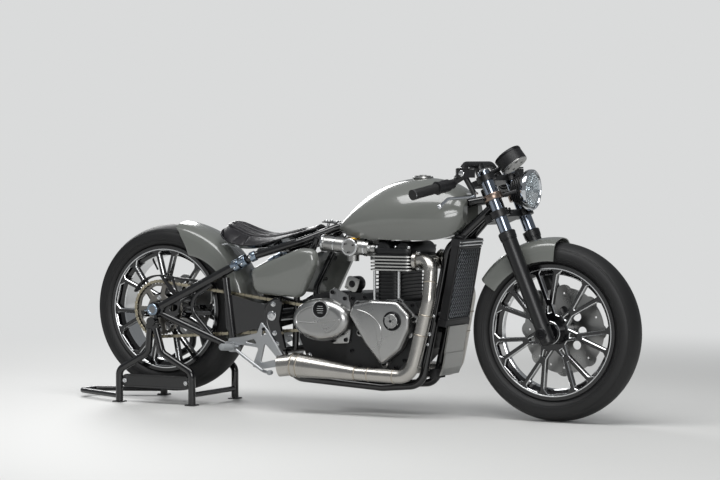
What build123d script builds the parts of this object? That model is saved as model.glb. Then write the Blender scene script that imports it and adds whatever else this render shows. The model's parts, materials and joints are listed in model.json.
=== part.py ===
from build123d import *
import os
from math import asin, cos, degrees, pi, radians, sin

os.makedirs("parts", exist_ok=True)

# Driving dimensions in millimetres: X forward, Y to the left, Z up, floor at Z 0
wheelbase = 1608
front_tyre_radius = 320
front_tyre_width = 123
rear_tyre_radius = 323
rear_tyre_width = 166
rear_lift = 37
stand_tail_reach = 419
rake = 22.8
fork_spacing = 210
fork_lead = 50
rim_lip_radius = 242.5
bead_radius = 229
front_rim_width = 96
rear_rim_width = 150
spoke_count = 7
handlebar_width = 780
engine_x = 228
tank_width = 300
chain_pitch = 15.875
rear_teeth = 42
front_teeth = 16
chain_y = -104
chain_width = 20
seat_gap = 0.3
axle_diameter = 25
axle_clearance = 0.05
run_gap = 6
frame_tube = 30
header_tube = 50
stem_bore = 34
arm_y = 137
arm_tube = 34

# Places worked out from the driving dimensions
front_axle_x = (stand_tail_reach + wheelbase + front_tyre_radius) / 2 - front_tyre_radius
rear_axle_x = front_axle_x - wheelbase
front_axle_z = front_tyre_radius
rear_axle_z = rear_tyre_radius + rear_lift
steer_up = (-sin(radians(rake)), 0, cos(radians(rake)))
steer_ahead = (cos(radians(rake)), 0, sin(radians(rake)))
half_fork = fork_spacing / 2


def fork_point(along, aside=0.0, ahead=0.0):
    """Give the point at a distance up the fork, to its left and ahead of its legs."""
    return Vector(
        front_axle_x + along * steer_up[0] + ahead * steer_ahead[0],
        aside,
        front_axle_z + along * steer_up[2] + ahead * steer_ahead[2],
    )


def fork_plane(along, aside=0.0, ahead=0.0):
    """Give the plane across the fork at a point, its X ahead and its Z up the fork."""
    return Plane(origin=fork_point(along, aside, ahead), x_dir=steer_ahead, z_dir=steer_up)


def side_plane(y):
    """Give the plane that looks at the right side: its X forward, its Y up."""
    return Plane(origin=(0, y, 0), x_dir=(1, 0, 0), z_dir=(0, -1, 0))


def save(piece, name):
    """Label a finished piece and write it to its own file."""
    piece.part.label = name
    export_step(piece.part, f"parts/{name}.step")


def straight_tube(start, end, diameter):
    """Add a straight round bar between two points."""
    start, end = Vector(*start), Vector(*end)
    with BuildSketch(Plane(origin=start, z_dir=end - start)) as section:
        Circle(diameter / 2)
    extrude(section.sketch, amount=(end - start).length)


def bent_tube(points, diameter, bend):
    """Add a round bar along the points, with its corners bent to a radius."""
    with BuildLine() as route:
        FilletPolyline(*points, radius=bend)
    with BuildSketch(Plane(origin=route.line @ 0, z_dir=route.line % 0)) as section:
        Circle(diameter / 2)
    sweep(section.sketch, path=route.line)


def cross_bar(x, z, y_start, y_end, diameter):
    """Add a round bar that lies across the machine."""
    straight_tube((x, y_start, z), (x, y_end, z), diameter)


def side_profile(points, y_start, y_end, corner=0.0):
    """Add a plate with the outline given as (x, z) points, between two places across."""
    with BuildSketch(side_plane(y_start)) as outline:
        Polygon(*points, align=None)
        if corner:
            fillet(outline.vertices(), corner)
    extrude(outline.sketch, amount=y_start - y_end)


# Wheels

def make_tyre(name, radius, width, rim_width, centre):
    """Make a tyre as one ring with rounded shoulders and its beads on the rim."""
    bead_y = rim_width / 2 - 8
    half = width / 2
    wall = radius - 44
    shoulder = (radius - 17, half * 0.80)
    axis_plane = Plane(origin=centre, x_dir=(1, 0, 0), z_dir=(0, 0, 1))
    with BuildPart() as tyre:
        with BuildSketch(axis_plane):
            with BuildLine():
                Line((bead_radius, -bead_y), (rim_lip_radius + 2, -bead_y))
                ThreePointArc((rim_lip_radius + 2, -bead_y), (wall, -half), (shoulder[0], -shoulder[1]))
                ThreePointArc((shoulder[0], -shoulder[1]), (radius, 0), shoulder)
                ThreePointArc(shoulder, (wall, half), (rim_lip_radius + 2, bead_y))
                Line((rim_lip_radius + 2, bead_y), (bead_radius, bead_y))
                Line((bead_radius, bead_y), (bead_radius, -bead_y))
            make_face()
        revolve(axis=Axis(centre, (0, 1, 0)))
    save(tyre, name)


def polar(radius, angle):
    """Give the flat point at a radius and an angle in degrees."""
    return radius * cos(radians(angle)), radius * sin(radians(angle))


def make_rim(name, rim_width, centre, first_angle, hub_radius, hub_width, bore):
    """Make a cast rim: a dropped barrel, a hub and forked spokes around it."""
    half = rim_width / 2
    well = 208
    wall = 6
    section = [
        (rim_lip_radius, -half), (rim_lip_radius, -half + 6), (bead_radius, -half + 8),
        (bead_radius, -half + 24), (well, -half + 34), (well, half - 34),
        (bead_radius, half - 24), (bead_radius, half - 8), (rim_lip_radius, half - 6),
        (rim_lip_radius, half), (bead_radius - wall, half), (bead_radius - wall, half - 26),
        (well - wall, half - 38), (well - wall, -half + 38), (bead_radius - wall, -half + 26),
        (bead_radius - wall, -half),
    ]
    axis_plane = Plane(origin=centre, x_dir=(1, 0, 0), z_dir=(0, 0, 1))
    spoke_plane = Plane(origin=centre, x_dir=(1, 0, 0), z_dir=(0, -1, 0))
    spoke_thickness = 26
    pitch = 360 / spoke_count
    fork_window = [(120, 0), (200, -8.5), (200, 8.5)]
    wide_window = [
        (64, -12), (118, -19), (190, -13.2), (200, -9.5), (200, 9.5), (190, 13.2), (118, 19), (64, 12),
    ]
    with BuildPart() as rim:
        with BuildSketch(axis_plane):
            Polygon(*section, align=None)
        revolve(axis=Axis(centre, (0, 1, 0)))
        with BuildSketch(spoke_plane):
            Circle(well - 2)
            with PolarLocations(0, spoke_count, start_angle=first_angle):
                Polygon(*[polar(r, a) for r, a in fork_window], align=None, mode=Mode.SUBTRACT)
            with PolarLocations(0, spoke_count, start_angle=first_angle + pitch / 2):
                Polygon(*[polar(r, a) for r, a in wide_window], align=None, mode=Mode.SUBTRACT)
        extrude(amount=spoke_thickness / 2, both=True)
        with BuildSketch(spoke_plane):
            Circle(hub_radius)
        extrude(amount=hub_width / 2, both=True)
        with BuildSketch(spoke_plane):
            Circle(bore / 2)
        extrude(amount=hub_width, both=True, mode=Mode.SUBTRACT)
    save(rim, name)


front_centre = (front_axle_x, 0, front_axle_z)
rear_centre = (rear_axle_x, 0, rear_axle_z)
wheel_bore = axle_diameter + 2 * axle_clearance
front_hub_width = 130
rear_hub_width = 150
front_hub_radius = 42
rear_hub_radius = 48
make_tyre("front_tyre", front_tyre_radius, front_tyre_width, front_rim_width, front_centre)
make_tyre("rear_tyre", rear_tyre_radius, rear_tyre_width, rear_rim_width, rear_centre)
make_rim("front_rim", front_rim_width, front_centre, 96, front_hub_radius, front_hub_width, wheel_bore)
make_rim("rear_rim", rear_rim_width, rear_centre, 90, rear_hub_radius, rear_hub_width, wheel_bore)

# Brake discs on the left ends of the hubs, with a wavy edge and drilled faces

disc_radius = 160
disc_thickness = 5
disc_lobes = 8


def make_disc(name, centre, radius, hub_radius, inner_y):
    """Make a brake disc with lobes, slots near its carrier and rings of holes."""
    plane = Plane(origin=(centre[0], inner_y, centre[2]), x_dir=(1, 0, 0), z_dir=(0, 1, 0))
    with BuildPart() as disc:
        with BuildSketch(plane):
            Circle(radius - 5)
            with PolarLocations(radius - 25, disc_lobes):
                Circle(30)
            with PolarLocations(hub_radius + 30, disc_lobes):
                Circle(16, mode=Mode.SUBTRACT)
            with PolarLocations(radius - 26, disc_lobes * 2):
                Circle(4, mode=Mode.SUBTRACT)
            Circle(axle_diameter / 2 + 6, mode=Mode.SUBTRACT)
        extrude(amount=disc_thickness)
    save(disc, name)


front_disc_y = front_hub_width / 2
rear_disc_y = rear_hub_width / 2
rear_disc_radius = 120
make_disc("front_disc", front_centre, disc_radius, front_hub_radius, front_disc_y)
make_disc("rear_disc", rear_centre, rear_disc_radius, rear_hub_radius, rear_disc_y)

# Chain drive on the right: pitch circles, then the straight runs that touch both

rear_pitch_radius = chain_pitch / (2 * sin(pi / rear_teeth))
front_pitch_radius = chain_pitch / (2 * sin(pi / front_teeth))
output_x = engine_x - 290
output_z = 345
roller_radius = 5
plate_height = 15
tooth_gap = 0.6
sprocket_thickness = 7

with BuildPart() as rear_sprocket:
    sprocket_face = Plane(
        origin=(rear_axle_x, chain_y + sprocket_thickness / 2, rear_axle_z),
        x_dir=(1, 0, 0),
        z_dir=(0, -1, 0),
    )
    with BuildSketch(sprocket_face):
        Circle(rear_pitch_radius - roller_radius - tooth_gap)
        with PolarLocations(70, 6):
            Circle(17, mode=Mode.SUBTRACT)
        Circle(axle_diameter / 2 + 8, mode=Mode.SUBTRACT)
    extrude(amount=sprocket_thickness)
    carrier_face = Plane(origin=(rear_axle_x, -rear_hub_width / 2, rear_axle_z), x_dir=(1, 0, 0), z_dir=(0, -1, 0))
    with BuildSketch(carrier_face):
        Circle(52)
        Circle(axle_diameter / 2 + 8, mode=Mode.SUBTRACT)
    extrude(amount=-rear_hub_width / 2 - chain_y - sprocket_thickness / 2)
save(rear_sprocket, "rear_sprocket")


def chain_outline(offset):
    """Draw the closed loop of the chain, moved outwards from its pitch line."""
    span = ((output_x - rear_axle_x) ** 2 + (output_z - rear_axle_z) ** 2) ** 0.5
    lie = degrees(asin((output_z - rear_axle_z) / span))
    open_angle = degrees(asin((rear_pitch_radius - front_pitch_radius) / span))
    rear, front = Vector(rear_axle_x, rear_axle_z), Vector(output_x, output_z)
    big, small = rear_pitch_radius + offset, front_pitch_radius + offset
    up, down = lie + 90 - open_angle, lie - 90 + open_angle
    rear_top = rear + Vector(*polar(big, up))
    rear_low = rear + Vector(*polar(big, down))
    front_top = front + Vector(*polar(small, up))
    front_low = front + Vector(*polar(small, down))
    with BuildLine() as loop:
        Line(rear_top, front_top)
        ThreePointArc(front_top, front + Vector(*polar(small, lie)), front_low)
        Line(front_low, rear_low)
        ThreePointArc(rear_low, rear + Vector(*polar(big, lie + 180)), rear_top)
    return loop.edges()


with BuildPart() as drive_chain:
    chain_face = side_plane(chain_y + chain_width / 2)
    with BuildSketch(chain_face):
        make_face(chain_outline(plate_height / 2))
        make_face(chain_outline(-roller_radius), mode=Mode.SUBTRACT)
    extrude(amount=chain_width)
save(drive_chain, "drive_chain")

with BuildPart() as chain_guard:
    guard_radius = rear_pitch_radius + 22
    guard_face = side_plane(chain_y + chain_width / 2 + 2)
    with BuildSketch(guard_face):
        with BuildLine():
            guard_centre = Vector(rear_axle_x, rear_axle_z)
            ThreePointArc(
                guard_centre + Vector(*polar(guard_radius + 3, 150)),
                guard_centre + Vector(*polar(guard_radius + 3, 115)),
                guard_centre + Vector(*polar(guard_radius + 3, 84)),
            )
            Line(guard_centre + Vector(*polar(guard_radius + 3, 84)), (rear_axle_x + 250, rear_axle_z + 106))
            Line((rear_axle_x + 250, rear_axle_z + 106), (rear_axle_x + 250, rear_axle_z + 98))
            Line((rear_axle_x + 250, rear_axle_z + 98), guard_centre + Vector(*polar(guard_radius - 3, 84)))
            ThreePointArc(
                guard_centre + Vector(*polar(guard_radius - 3, 84)),
                guard_centre + Vector(*polar(guard_radius - 3, 115)),
                guard_centre + Vector(*polar(guard_radius - 3, 150)),
            )
            Line(guard_centre + Vector(*polar(guard_radius - 3, 150)), guard_centre + Vector(*polar(guard_radius + 3, 150)))
        make_face()
    extrude(amount=chain_width + 4)
    guard_top = rear_axle_z + guard_radius - 2
    side_profile(
        [
            (rear_axle_x + 8, guard_top), (rear_axle_x + 20, guard_top), (rear_axle_x + 86, rear_axle_z + 62),
            (rear_axle_x + 54, guard_top), (rear_axle_x + 66, guard_top), (rear_axle_x + 98, rear_axle_z + 36),
            (rear_axle_x + 82, rear_axle_z + 36),
        ],
        chain_y - chain_width / 2 - 0.5,
        -arm_y + arm_tube / 2 + seat_gap,
    )
save(chain_guard, "chain_guard")

# Swingarm: a braced cage on each side of the rear wheel, joined at its pivot

link_tube = 28
pivot_x = engine_x - 460
pivot_z = 352
joint_x = engine_x - 571
joint_z = 565
upright_x = rear_axle_x + 314
with BuildPart() as swingarm:
    axle_block = [(-24, -22), (-24, 18), (-6, 30), (34, 26), (46, 4), (30, -22)]
    side_profile(
        [(rear_axle_x + x, rear_axle_z + z) for x, z in axle_block], -arm_y + 13, -arm_y - 13, 5
    )
    straight_tube((rear_axle_x + 25, -arm_y, rear_axle_z + 12), (joint_x - 6, -arm_y, joint_z - 6), arm_tube)
    lower_end = (rear_axle_x + 350, -arm_y, rear_axle_z - 136)
    straight_tube((rear_axle_x + 20, -arm_y, rear_axle_z - 14), lower_end, link_tube)
    straight_tube((upright_x, -arm_y, rear_axle_z + 128), lower_end, link_tube)
    bent_tube(
        [
            (rear_axle_x + 255, -arm_y, rear_axle_z + 104),
            (rear_axle_x + 130, -arm_y, rear_axle_z + 30),
            (rear_axle_x + 255, -arm_y, rear_axle_z - 96),
        ],
        18,
        60,
    )
    side_profile(
        [
            (upright_x - 6, rear_axle_z + 40), (upright_x + 4, rear_axle_z + 70), (pivot_x, pivot_z + 30),
            (pivot_x + 24, pivot_z), (pivot_x, pivot_z - 30), (upright_x + 20, rear_axle_z - 90),
            (upright_x, rear_axle_z - 60),
        ],
        -119,
        -arm_y,
        8,
    )
    mirror(about=Plane.XZ)
    cross_bar(pivot_x, pivot_z, -119, 119, 44)
    cross_bar(rear_axle_x, rear_axle_z, -arm_y - 20, arm_y + 20, axle_diameter + 2 * axle_clearance)
    with BuildSketch(side_plane(arm_y - 13)):
        with Locations((rear_axle_x, rear_axle_z)):
            Circle(axle_diameter)
    extrude(amount=2 * (arm_y - 13), mode=Mode.SUBTRACT)
    with BuildSketch(side_plane(arm_y + 30)):
        with Locations((rear_axle_x, rear_axle_z)):
            Circle(axle_diameter / 2 + axle_clearance)
    extrude(amount=2 * (arm_y + 30), mode=Mode.SUBTRACT)
    bobbin_z = rear_axle_z - 46
    for side in (-1, 1):
        cross_bar(rear_axle_x - 3, bobbin_z, side * (arm_y - 10), side * (arm_y + 34), 24)
        cross_bar(rear_axle_x - 3, bobbin_z, side * (arm_y + 28), side * (arm_y + 34), 36)
    for side in (-1, 1):
        straight_tube(
            (rear_axle_x - 3, side * (arm_y - 5), bobbin_z), (rear_axle_x - 3, side * (arm_y - 5), rear_axle_z - 18), 16
        )
save(swingarm, "swingarm")

with BuildPart() as rear_axle:
    cross_bar(rear_axle_x, rear_axle_z, -arm_y - 22, arm_y + 22, axle_diameter)
    for side in (-1, 1):
        cross_bar(rear_axle_x, rear_axle_z, side * (arm_y + 13 + seat_gap), side * (arm_y + 27), 38)
save(rear_axle, "rear_axle")

# Paddock stand: two frames of bent tube, a tail on the floor and a blank plate

stand_y = arm_y + 27
stand_tube = 28
cup_z = bobbin_z - 12 - seat_gap
with BuildPart() as paddock_stand:
    for leg_x, knee_x, top_x in (
        (rear_axle_x - 153, rear_axle_x - 20, rear_axle_x - 12),
        (rear_axle_x + 175, rear_axle_x + 42, rear_axle_x + 14),
    ):
        bent_tube(
            [
                (leg_x, -stand_y + 6, 0), (leg_x, -stand_y + 6, 125), (knee_x, -stand_y + 6, 196),
                (top_x, -stand_y + 6, cup_z - 14),
            ],
            stand_tube,
            34,
        )
        with BuildSketch(Plane.XY):
            with Locations((leg_x, -stand_y + 6)):
                Rectangle(36, 36)
        extrude(amount=6)
    side_profile(
        [
            (rear_axle_x - 26, cup_z - 22), (rear_axle_x + 26, cup_z - 22), (rear_axle_x + 26, cup_z + 4),
            (rear_axle_x + 12, cup_z), (rear_axle_x - 16, cup_z), (rear_axle_x - 26, cup_z + 4),
        ],
        -stand_y + 14,
        -stand_y - 1,
    )
    mirror(about=Plane.XZ)
    cross_bar(rear_axle_x + 175, 40, -stand_y, stand_y, 20)
    bent_tube(
        [
            (rear_axle_x - 153, -stand_y + 6, 24), (rear_axle_x - stand_tail_reach + 10, -44, 24),
            (rear_axle_x - stand_tail_reach + 10, 44, 24), (rear_axle_x - 153, stand_y - 6, 24),
        ],
        20,
        28,
    )
    with BuildSketch(side_plane(-stand_y + 16)):
        with Locations((rear_axle_x + 11, 84)):
            SlotOverall(312, 50)
    extrude(amount=10)
save(paddock_stand, "paddock_stand")

# Engine cases

case_half = 120
case_back = 86
with BuildPart() as engine_cases:
    side_profile(
        [
            (engine_x - 378, 270), (engine_x - 378, 400), (engine_x - 288, 440), (engine_x - 150, 446),
            (engine_x - 150, 172), (engine_x - 348, 200),
        ],
        case_back,
        -case_back,
        14,
    )
    side_profile(
        [
            (engine_x - 160, 172), (engine_x - 160, 446), (engine_x - 92, 444), (engine_x - 70, 420), (engine_x + 117, 420),
            (engine_x + 144, 380), (engine_x + 122, 240), (engine_x + 52, 165), (engine_x - 120, 160),
        ],
        case_half,
        -case_half,
        10,
    )
save(engine_cases, "engine_cases")

# Main frame: headstock, backbone pair, down tubes, cradle and pivot plates

head_low = fork_point(474, 0, -fork_lead)
head_high = fork_point(575, 0, -fork_lead)
rail_y = 110
pod_in = 125
boss_length = 16
stand_splay = 15
stand_pivot = Vector(engine_x - 60, 136, 126)
stand_axis = Vector(0, cos(radians(stand_splay)), sin(radians(stand_splay)))
with BuildPart() as main_frame:
    straight_tube(head_low, head_high, 62)
    top_joint = fork_point(535, -24, -fork_lead - 10)
    low_joint = fork_point(500, -24, -fork_lead - 8)
    backbone = [
        (joint_x + 34, -rail_y - 16, joint_z + 12), (engine_x - 369, -rail_y + 8, joint_z + 62),
        (engine_x - 236, -27, 685), (engine_x + 72, -24, 738), top_joint,
    ]
    bent_tube(backbone, frame_tube, 90)
    downtube = [
        low_joint, (engine_x + 226, -60, 612), (engine_x + 118, -60, 112), (engine_x - 30, -86, 100),
        (pivot_x + 90, -130, 126), (pivot_x + 30, -134, 230),
    ]
    bent_tube(downtube, frame_tube, 60)
    side_profile(
        [
            (pivot_x - 36, pivot_z + 42), (pivot_x + 20, pivot_z + 62), (pivot_x + 44, pivot_z + 50),
            (pivot_x + 30, pivot_z - 20), (pivot_x + 56, pivot_z - 120), (pivot_x + 20, pivot_z - 150),
            (pivot_x - 44, pivot_z - 20),
        ],
        -arm_y - seat_gap,
        -arm_y - 15,
        10,
    )
    bent_tube([(engine_x - 300, -90, 642), (engine_x - 396, -74, 452), (engine_x - 404, -74, pivot_z - 130)], 24, 60)
    straight_tube((engine_x + 164, -60, 310), (engine_x + 112, -60, 310), 26)
    straight_tube((engine_x - 400, -74, 400), (engine_x - 370, -74, 400), 18)
    for ahead, height in ((-341, 560), (-382, 480)):
        cross_bar(engine_x + ahead, height, -70, -pod_in + seat_gap, 14)
    mirror(about=Plane.XZ)
    stand_root = Vector(engine_x - 60, 90, 103)
    straight_tube(stand_root, stand_pivot - stand_axis * (boss_length / 2 + 9), 18)
    straight_tube(
        stand_pivot - stand_axis * (boss_length / 2 + 16), stand_pivot - stand_axis * (boss_length / 2 + seat_gap), 22
    )
    straight_tube(stand_pivot - stand_axis * boss_length, stand_pivot + stand_axis * (boss_length / 2 + 3), 10)
    straight_tube(
        stand_pivot + stand_axis * (boss_length / 2 + seat_gap), stand_pivot + stand_axis * (boss_length / 2 + 5), 17
    )
    add(engine_cases.part, mode=Mode.SUBTRACT)
    cross_bar(engine_x + 128, 150, -60, 60, 24)
    cross_bar(pivot_x + 40, pivot_z - 130, -140, 140, 26)
    cross_bar(engine_x - 300, 642, -rail_y + 16, rail_y - 16, 24)
    cross_bar(engine_x - 530, 602 - 10.5, -rail_y - 14, rail_y + 14, 20)
    with BuildSketch(Plane(origin=head_low, z_dir=steer_up)):
        Circle(stem_bore / 2)
    extrude(amount=(head_high - head_low).length, mode=Mode.SUBTRACT)
save(main_frame, "main_frame")

# Engine: finned barrels and head, and the covers on both sides

barrel_low = 420
barrel_high = 528
barrel_length = 116
barrel_half = 118
fin_count = 7
fin_thickness = 3
with BuildPart() as cylinder_block:
    with BuildSketch(Plane.XY.offset(barrel_low)):
        with Locations((engine_x, 0)):
            RectangleRounded(barrel_length - 22, 2 * barrel_half - 22, 30)
    extrude(amount=barrel_high - barrel_low)
    for fin in range(fin_count):
        with BuildSketch(Plane.XY.offset(barrel_low + 12 + fin * (barrel_high - barrel_low - 16) / fin_count)):
            with Locations((engine_x, 0)):
                RectangleRounded(barrel_length, 2 * barrel_half, 34)
        extrude(amount=fin_thickness)
save(cylinder_block, "cylinder_block")

head_high_z = 588
head_length = 176
head_half = 134
head_fins = 5
head_x = engine_x + 22
head_front = head_x + head_length / 2
with BuildPart() as cylinder_head:
    with BuildSketch(Plane.XY.offset(barrel_high)):
        with Locations((head_x, 0)):
            RectangleRounded(head_length - 24, 2 * head_half - 24, 26)
    extrude(amount=head_high_z - barrel_high)
    for fin in range(head_fins):
        with BuildSketch(Plane.XY.offset(barrel_high + 2 + fin * 12)):
            with Locations((head_x, 0)):
                RectangleRounded(head_length, 2 * head_half, 30)
        extrude(amount=5)
save(cylinder_head, "cylinder_head")

with BuildPart() as cam_cover:
    with BuildSketch(Plane.XY.offset(head_high_z)):
        with Locations((head_x, 0)):
            RectangleRounded(150, 2 * head_half - 30, 30)
    extrude(amount=50)
    fillet(cam_cover.faces().sort_by(Axis.Z)[-1].edges(), 14)
save(cam_cover, "cam_cover")

with BuildPart() as clutch_cover:
    side_profile(
        [
            (engine_x - 124, 372), (engine_x - 112, 410), (engine_x + 66, 419), (engine_x + 126, 360),
            (engine_x + 4, 190),
        ],
        -case_half,
        -case_half - 55,
        22,
    )
    fillet(clutch_cover.faces().sort_by(Axis.Y)[0].edges(), 18)
    with BuildSketch(side_plane(-case_half - 54)):
        with Locations((engine_x + 58, 350)):
            Circle(26)
    extrude(amount=14)
save(clutch_cover, "clutch_cover")

with BuildPart() as sprocket_cover:
    with BuildSketch(side_plane(-case_half)):
        with Locations((engine_x - 248, 344)):
            Ellipse(119, 79)
    extrude(amount=60)
    fillet(sprocket_cover.faces().sort_by(Axis.Y)[0].edges(), 34)
    with BuildSketch(side_plane(-case_half - 56)):
        with Locations((engine_x - 233, 378)):
            Circle(24)
    extrude(amount=8)
save(sprocket_cover, "sprocket_cover")

with BuildPart() as alternator_cover:
    with BuildSketch(side_plane(case_half + 52)):
        with Locations((engine_x + 30, 320)):
            Circle(88)
    extrude(amount=52)
    fillet(alternator_cover.faces().sort_by(Axis.Y)[-1].edges(), 20)
save(alternator_cover, "alternator_cover")

throttle_y = 90
with BuildPart() as throttle_bodies:
    for y in (-throttle_y, throttle_y):
        straight_tube((head_x - 75 - seat_gap, y, 607), (engine_x - 84, y, 607), 34)
        straight_tube((engine_x - 78, y, 608), (engine_x - 270, y, 624), 58)
        straight_tube((engine_x - 149, y, 560), (engine_x - 149, y, 640), 44)
        cross_bar(engine_x - 149, 612, y - 34, y + 34, 66)
    cross_bar(engine_x - 149, 612, -throttle_y, throttle_y, 24)
save(throttle_bodies, "throttle_bodies")

# Radiator with its mesh guard, chin plate and regulator

radiator_lean = 10.4
radiator_half = 95
radiator_height = 286
radiator_depth = 26
tank_proud = 4
radiator_low = Vector(engine_x + 231, 0, 346)
radiator_plane = Plane(
    origin=radiator_low,
    x_dir=(0, 1, 0),
    z_dir=(cos(radians(radiator_lean)), 0, -sin(radians(radiator_lean))),
)
with BuildPart() as radiator:
    with BuildSketch(radiator_plane):
        with Locations((0, radiator_height / 2)):
            Rectangle(2 * radiator_half, radiator_height)
    extrude(amount=-radiator_depth)
    with BuildSketch(radiator_plane.offset(tank_proud)):
        with Locations((0, -6), (0, radiator_height + 6)):
            Rectangle(2 * radiator_half + 8, 24)
    extrude(amount=-radiator_depth - tank_proud - 3)
    with BuildSketch(radiator_plane.offset(-radiator_depth + 1)):
        with Locations((60, 20), (-60, 20)):
            Circle(9)
    extrude(amount=-30)
    with BuildSketch(radiator_plane.offset(-radiator_depth + 1)):
        with Locations((60, radiator_height - 40), (-60, radiator_height - 40)):
            Circle(9)
    extrude(amount=-22)
    add(main_frame.part, mode=Mode.SUBTRACT)
save(radiator, "radiator")

with BuildPart() as radiator_grille:
    with BuildSketch(radiator_plane.offset(seat_gap)):
        with Locations((0, radiator_height / 2)):
            Rectangle(2 * radiator_half - 4, radiator_height - 12)
    extrude(amount=3)
save(radiator_grille, "radiator_grille")

chin_half = 74
with BuildPart() as chin_plate:
    with BuildSketch(radiator_plane.offset(tank_proud + seat_gap)):
        with Locations((0, -66)):
            Rectangle(2 * chin_half, 104)
    extrude(amount=6)
    side_profile(
        [
            (engine_x + 223, 232), (engine_x + 217, 231), (engine_x + 206, 176), (engine_x + 196, 150),
            (engine_x + 203, 150), (engine_x + 214, 176),
        ],
        chin_half,
        -chin_half,
    )
save(chin_plate, "chin_plate")

with BuildPart() as regulator:
    regulator_face = Plane(
        origin=(engine_x + 128 + 12 + seat_gap, 0, 152), x_dir=(0, 1, 0), z_dir=(1, 0, 0)
    )
    with BuildSketch(regulator_face):
        Rectangle(84, 34)
    extrude(amount=26)
save(regulator, "regulator")

# Exhausts: a header, a corner below the engine and a cone with a turned-out tip


def make_exhaust(name, side):
    """Make the exhaust of one side; the right side is -1 and the left side 1."""
    header = [
        (head_front + 10, side * 100, 566), (engine_x + 190, side * 124, 574), (engine_x + 200, side * 168, 430),
        (engine_x + 160, side * 180, 250), (engine_x + 134, side * 190, 150), (engine_x - 84, side * 190, 156),
    ]
    cone_start = Vector(engine_x - 84, side * 190, 156)
    cone_end = Vector(engine_x - 316, side * 195, 176)
    with BuildPart() as exhaust:
        bent_tube(header, header_tube, [52, 60, 200, 58])
        with BuildSketch(Plane(origin=cone_start, z_dir=cone_end - cone_start)):
            Circle(header_tube / 2 + 1)
        with BuildSketch(Plane(origin=cone_end, z_dir=cone_end - cone_start)):
            Circle(header_tube / 2 + 19)
        loft()
        with BuildSketch(Plane(origin=cone_end, z_dir=cone_end - cone_start)):
            Circle(header_tube / 2 + 19)
        extrude(amount=30)
        tip_start = cone_end + (cone_end - cone_start).normalized() * 29
        tip_end = Vector(engine_x - 398, side * 206, 172)
        with BuildSketch(Plane(origin=tip_start, z_dir=tip_end - tip_start)):
            Circle(header_tube / 2 + 15)
        extrude(amount=(tip_end - tip_start).length)
        with BuildSketch(Plane(origin=tip_end, z_dir=tip_start - tip_end)):
            Circle(header_tube / 2 + 11)
        extrude(amount=60, mode=Mode.SUBTRACT)
        flange = Plane(origin=(head_front + seat_gap, side * 100, 566), x_dir=(0, 1, 0), z_dir=(1, 0, 0))
        with BuildSketch(flange):
            Circle(header_tube / 2 + 8)
        extrude(amount=12)
    save(exhaust, name)


make_exhaust("exhaust_right", -1)
make_exhaust("exhaust_left", 1)

# Fuel tank: sections from its tail to its nose over a tunnel for the backbone

tank_stations = [
    # x from engine, half width, bottom z, top z
    (-224, 58, 667, 704),
    (-166, 96, 652, 764),
    (-46, 136, 642, 838),
    (92, tank_width / 2, 641, 866),
    (222, 128, 650, 848),
    (294, 84, 705, 797),
]
with BuildPart() as fuel_tank:
    for ahead, half, low, high in tank_stations:
        height = high - low
        with BuildSketch(Plane(origin=(engine_x + ahead, 0, 0), x_dir=(0, 1, 0), z_dir=(1, 0, 0))):
            with BuildLine():
                foot, shoulder, crown_z = half * 0.84, half * 0.74, high - height * 0.22
                ThreePointArc((-foot, low), (-half, low + height * 0.42), (-shoulder, crown_z))
                ThreePointArc((-shoulder, crown_z), (0, high), (shoulder, crown_z))
                ThreePointArc((shoulder, crown_z), (half, low + height * 0.42), (foot, low))
                Line((foot, low), (-foot, low))
            make_face()
    loft()
    with BuildSketch(side_plane(45)):
        Polygon(
            (engine_x - 300, 600), (engine_x - 300, 716), (engine_x + 340, 812), (engine_x + 340, 600), align=None
        )
    extrude(amount=90, mode=Mode.SUBTRACT)
save(fuel_tank, "fuel_tank")

with BuildPart() as filler_cap:
    with BuildSketch(Plane.XY.offset(866 + seat_gap)):
        with Locations((engine_x + 92, 0)):
            Circle(29)
    extrude(amount=8)
save(filler_cap, "filler_cap")

# Seat on its pan, side pods and fenders

seat_stations = [
    # x from engine, half width, underside z, top z
    (-728, 60, 652, 690),
    (-690, 118, 622, 700),
    (-610, 142, 600, 672),
    (-530, 136, 602, 658),
    (-440, 102, 626, 670),
    (-330, 56, 662, 696),
]
seat_rise = 12
with BuildPart() as seat:
    for ahead, half, low, high in seat_stations:
        with BuildSketch(Plane(origin=(engine_x + ahead, 0, 0), x_dir=(0, 1, 0), z_dir=(1, 0, 0))):
            with BuildLine():
                brim = low + seat_rise
                Line((-half, brim), (half, brim))
                ThreePointArc((half, brim), (0, high), (-half, brim))
            make_face()
    loft()
save(seat, "seat")

with BuildPart() as seat_pan:
    for ahead, half, low, high in seat_stations:
        with BuildSketch(Plane(origin=(engine_x + ahead, 0, 0), x_dir=(0, 1, 0), z_dir=(1, 0, 0))):
            with BuildLine():
                brim = low + seat_rise - 0.8
                Line((-half - 2, brim), (half + 2, brim))
                Line((half + 2, brim), (half - 16, low))
                Line((half - 16, low), (-half + 16, low))
                Line((-half + 16, low), (-half - 2, brim))
            make_face()
    loft()
save(seat_pan, "seat_pan")

pod_outline = [(-551, 470), (-520, 426), (-430, 420), (-330, 436), (-272, 560), (-300, 600), (-360, 602), (-540, 540)]
with BuildPart() as side_pods:
    side_profile([(engine_x + x, z) for x, z in pod_outline], -pod_in, -pod_in - 37, 26)
    fillet(side_pods.faces().sort_by(Axis.Y)[0].edges(), 18)
    mirror(about=Plane.XZ)
save(side_pods, "side_pods")

fender_radius = 360
fender_ahead = 22
fender_drop = 22
fender_sheet = 3
fender_half = 91


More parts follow.
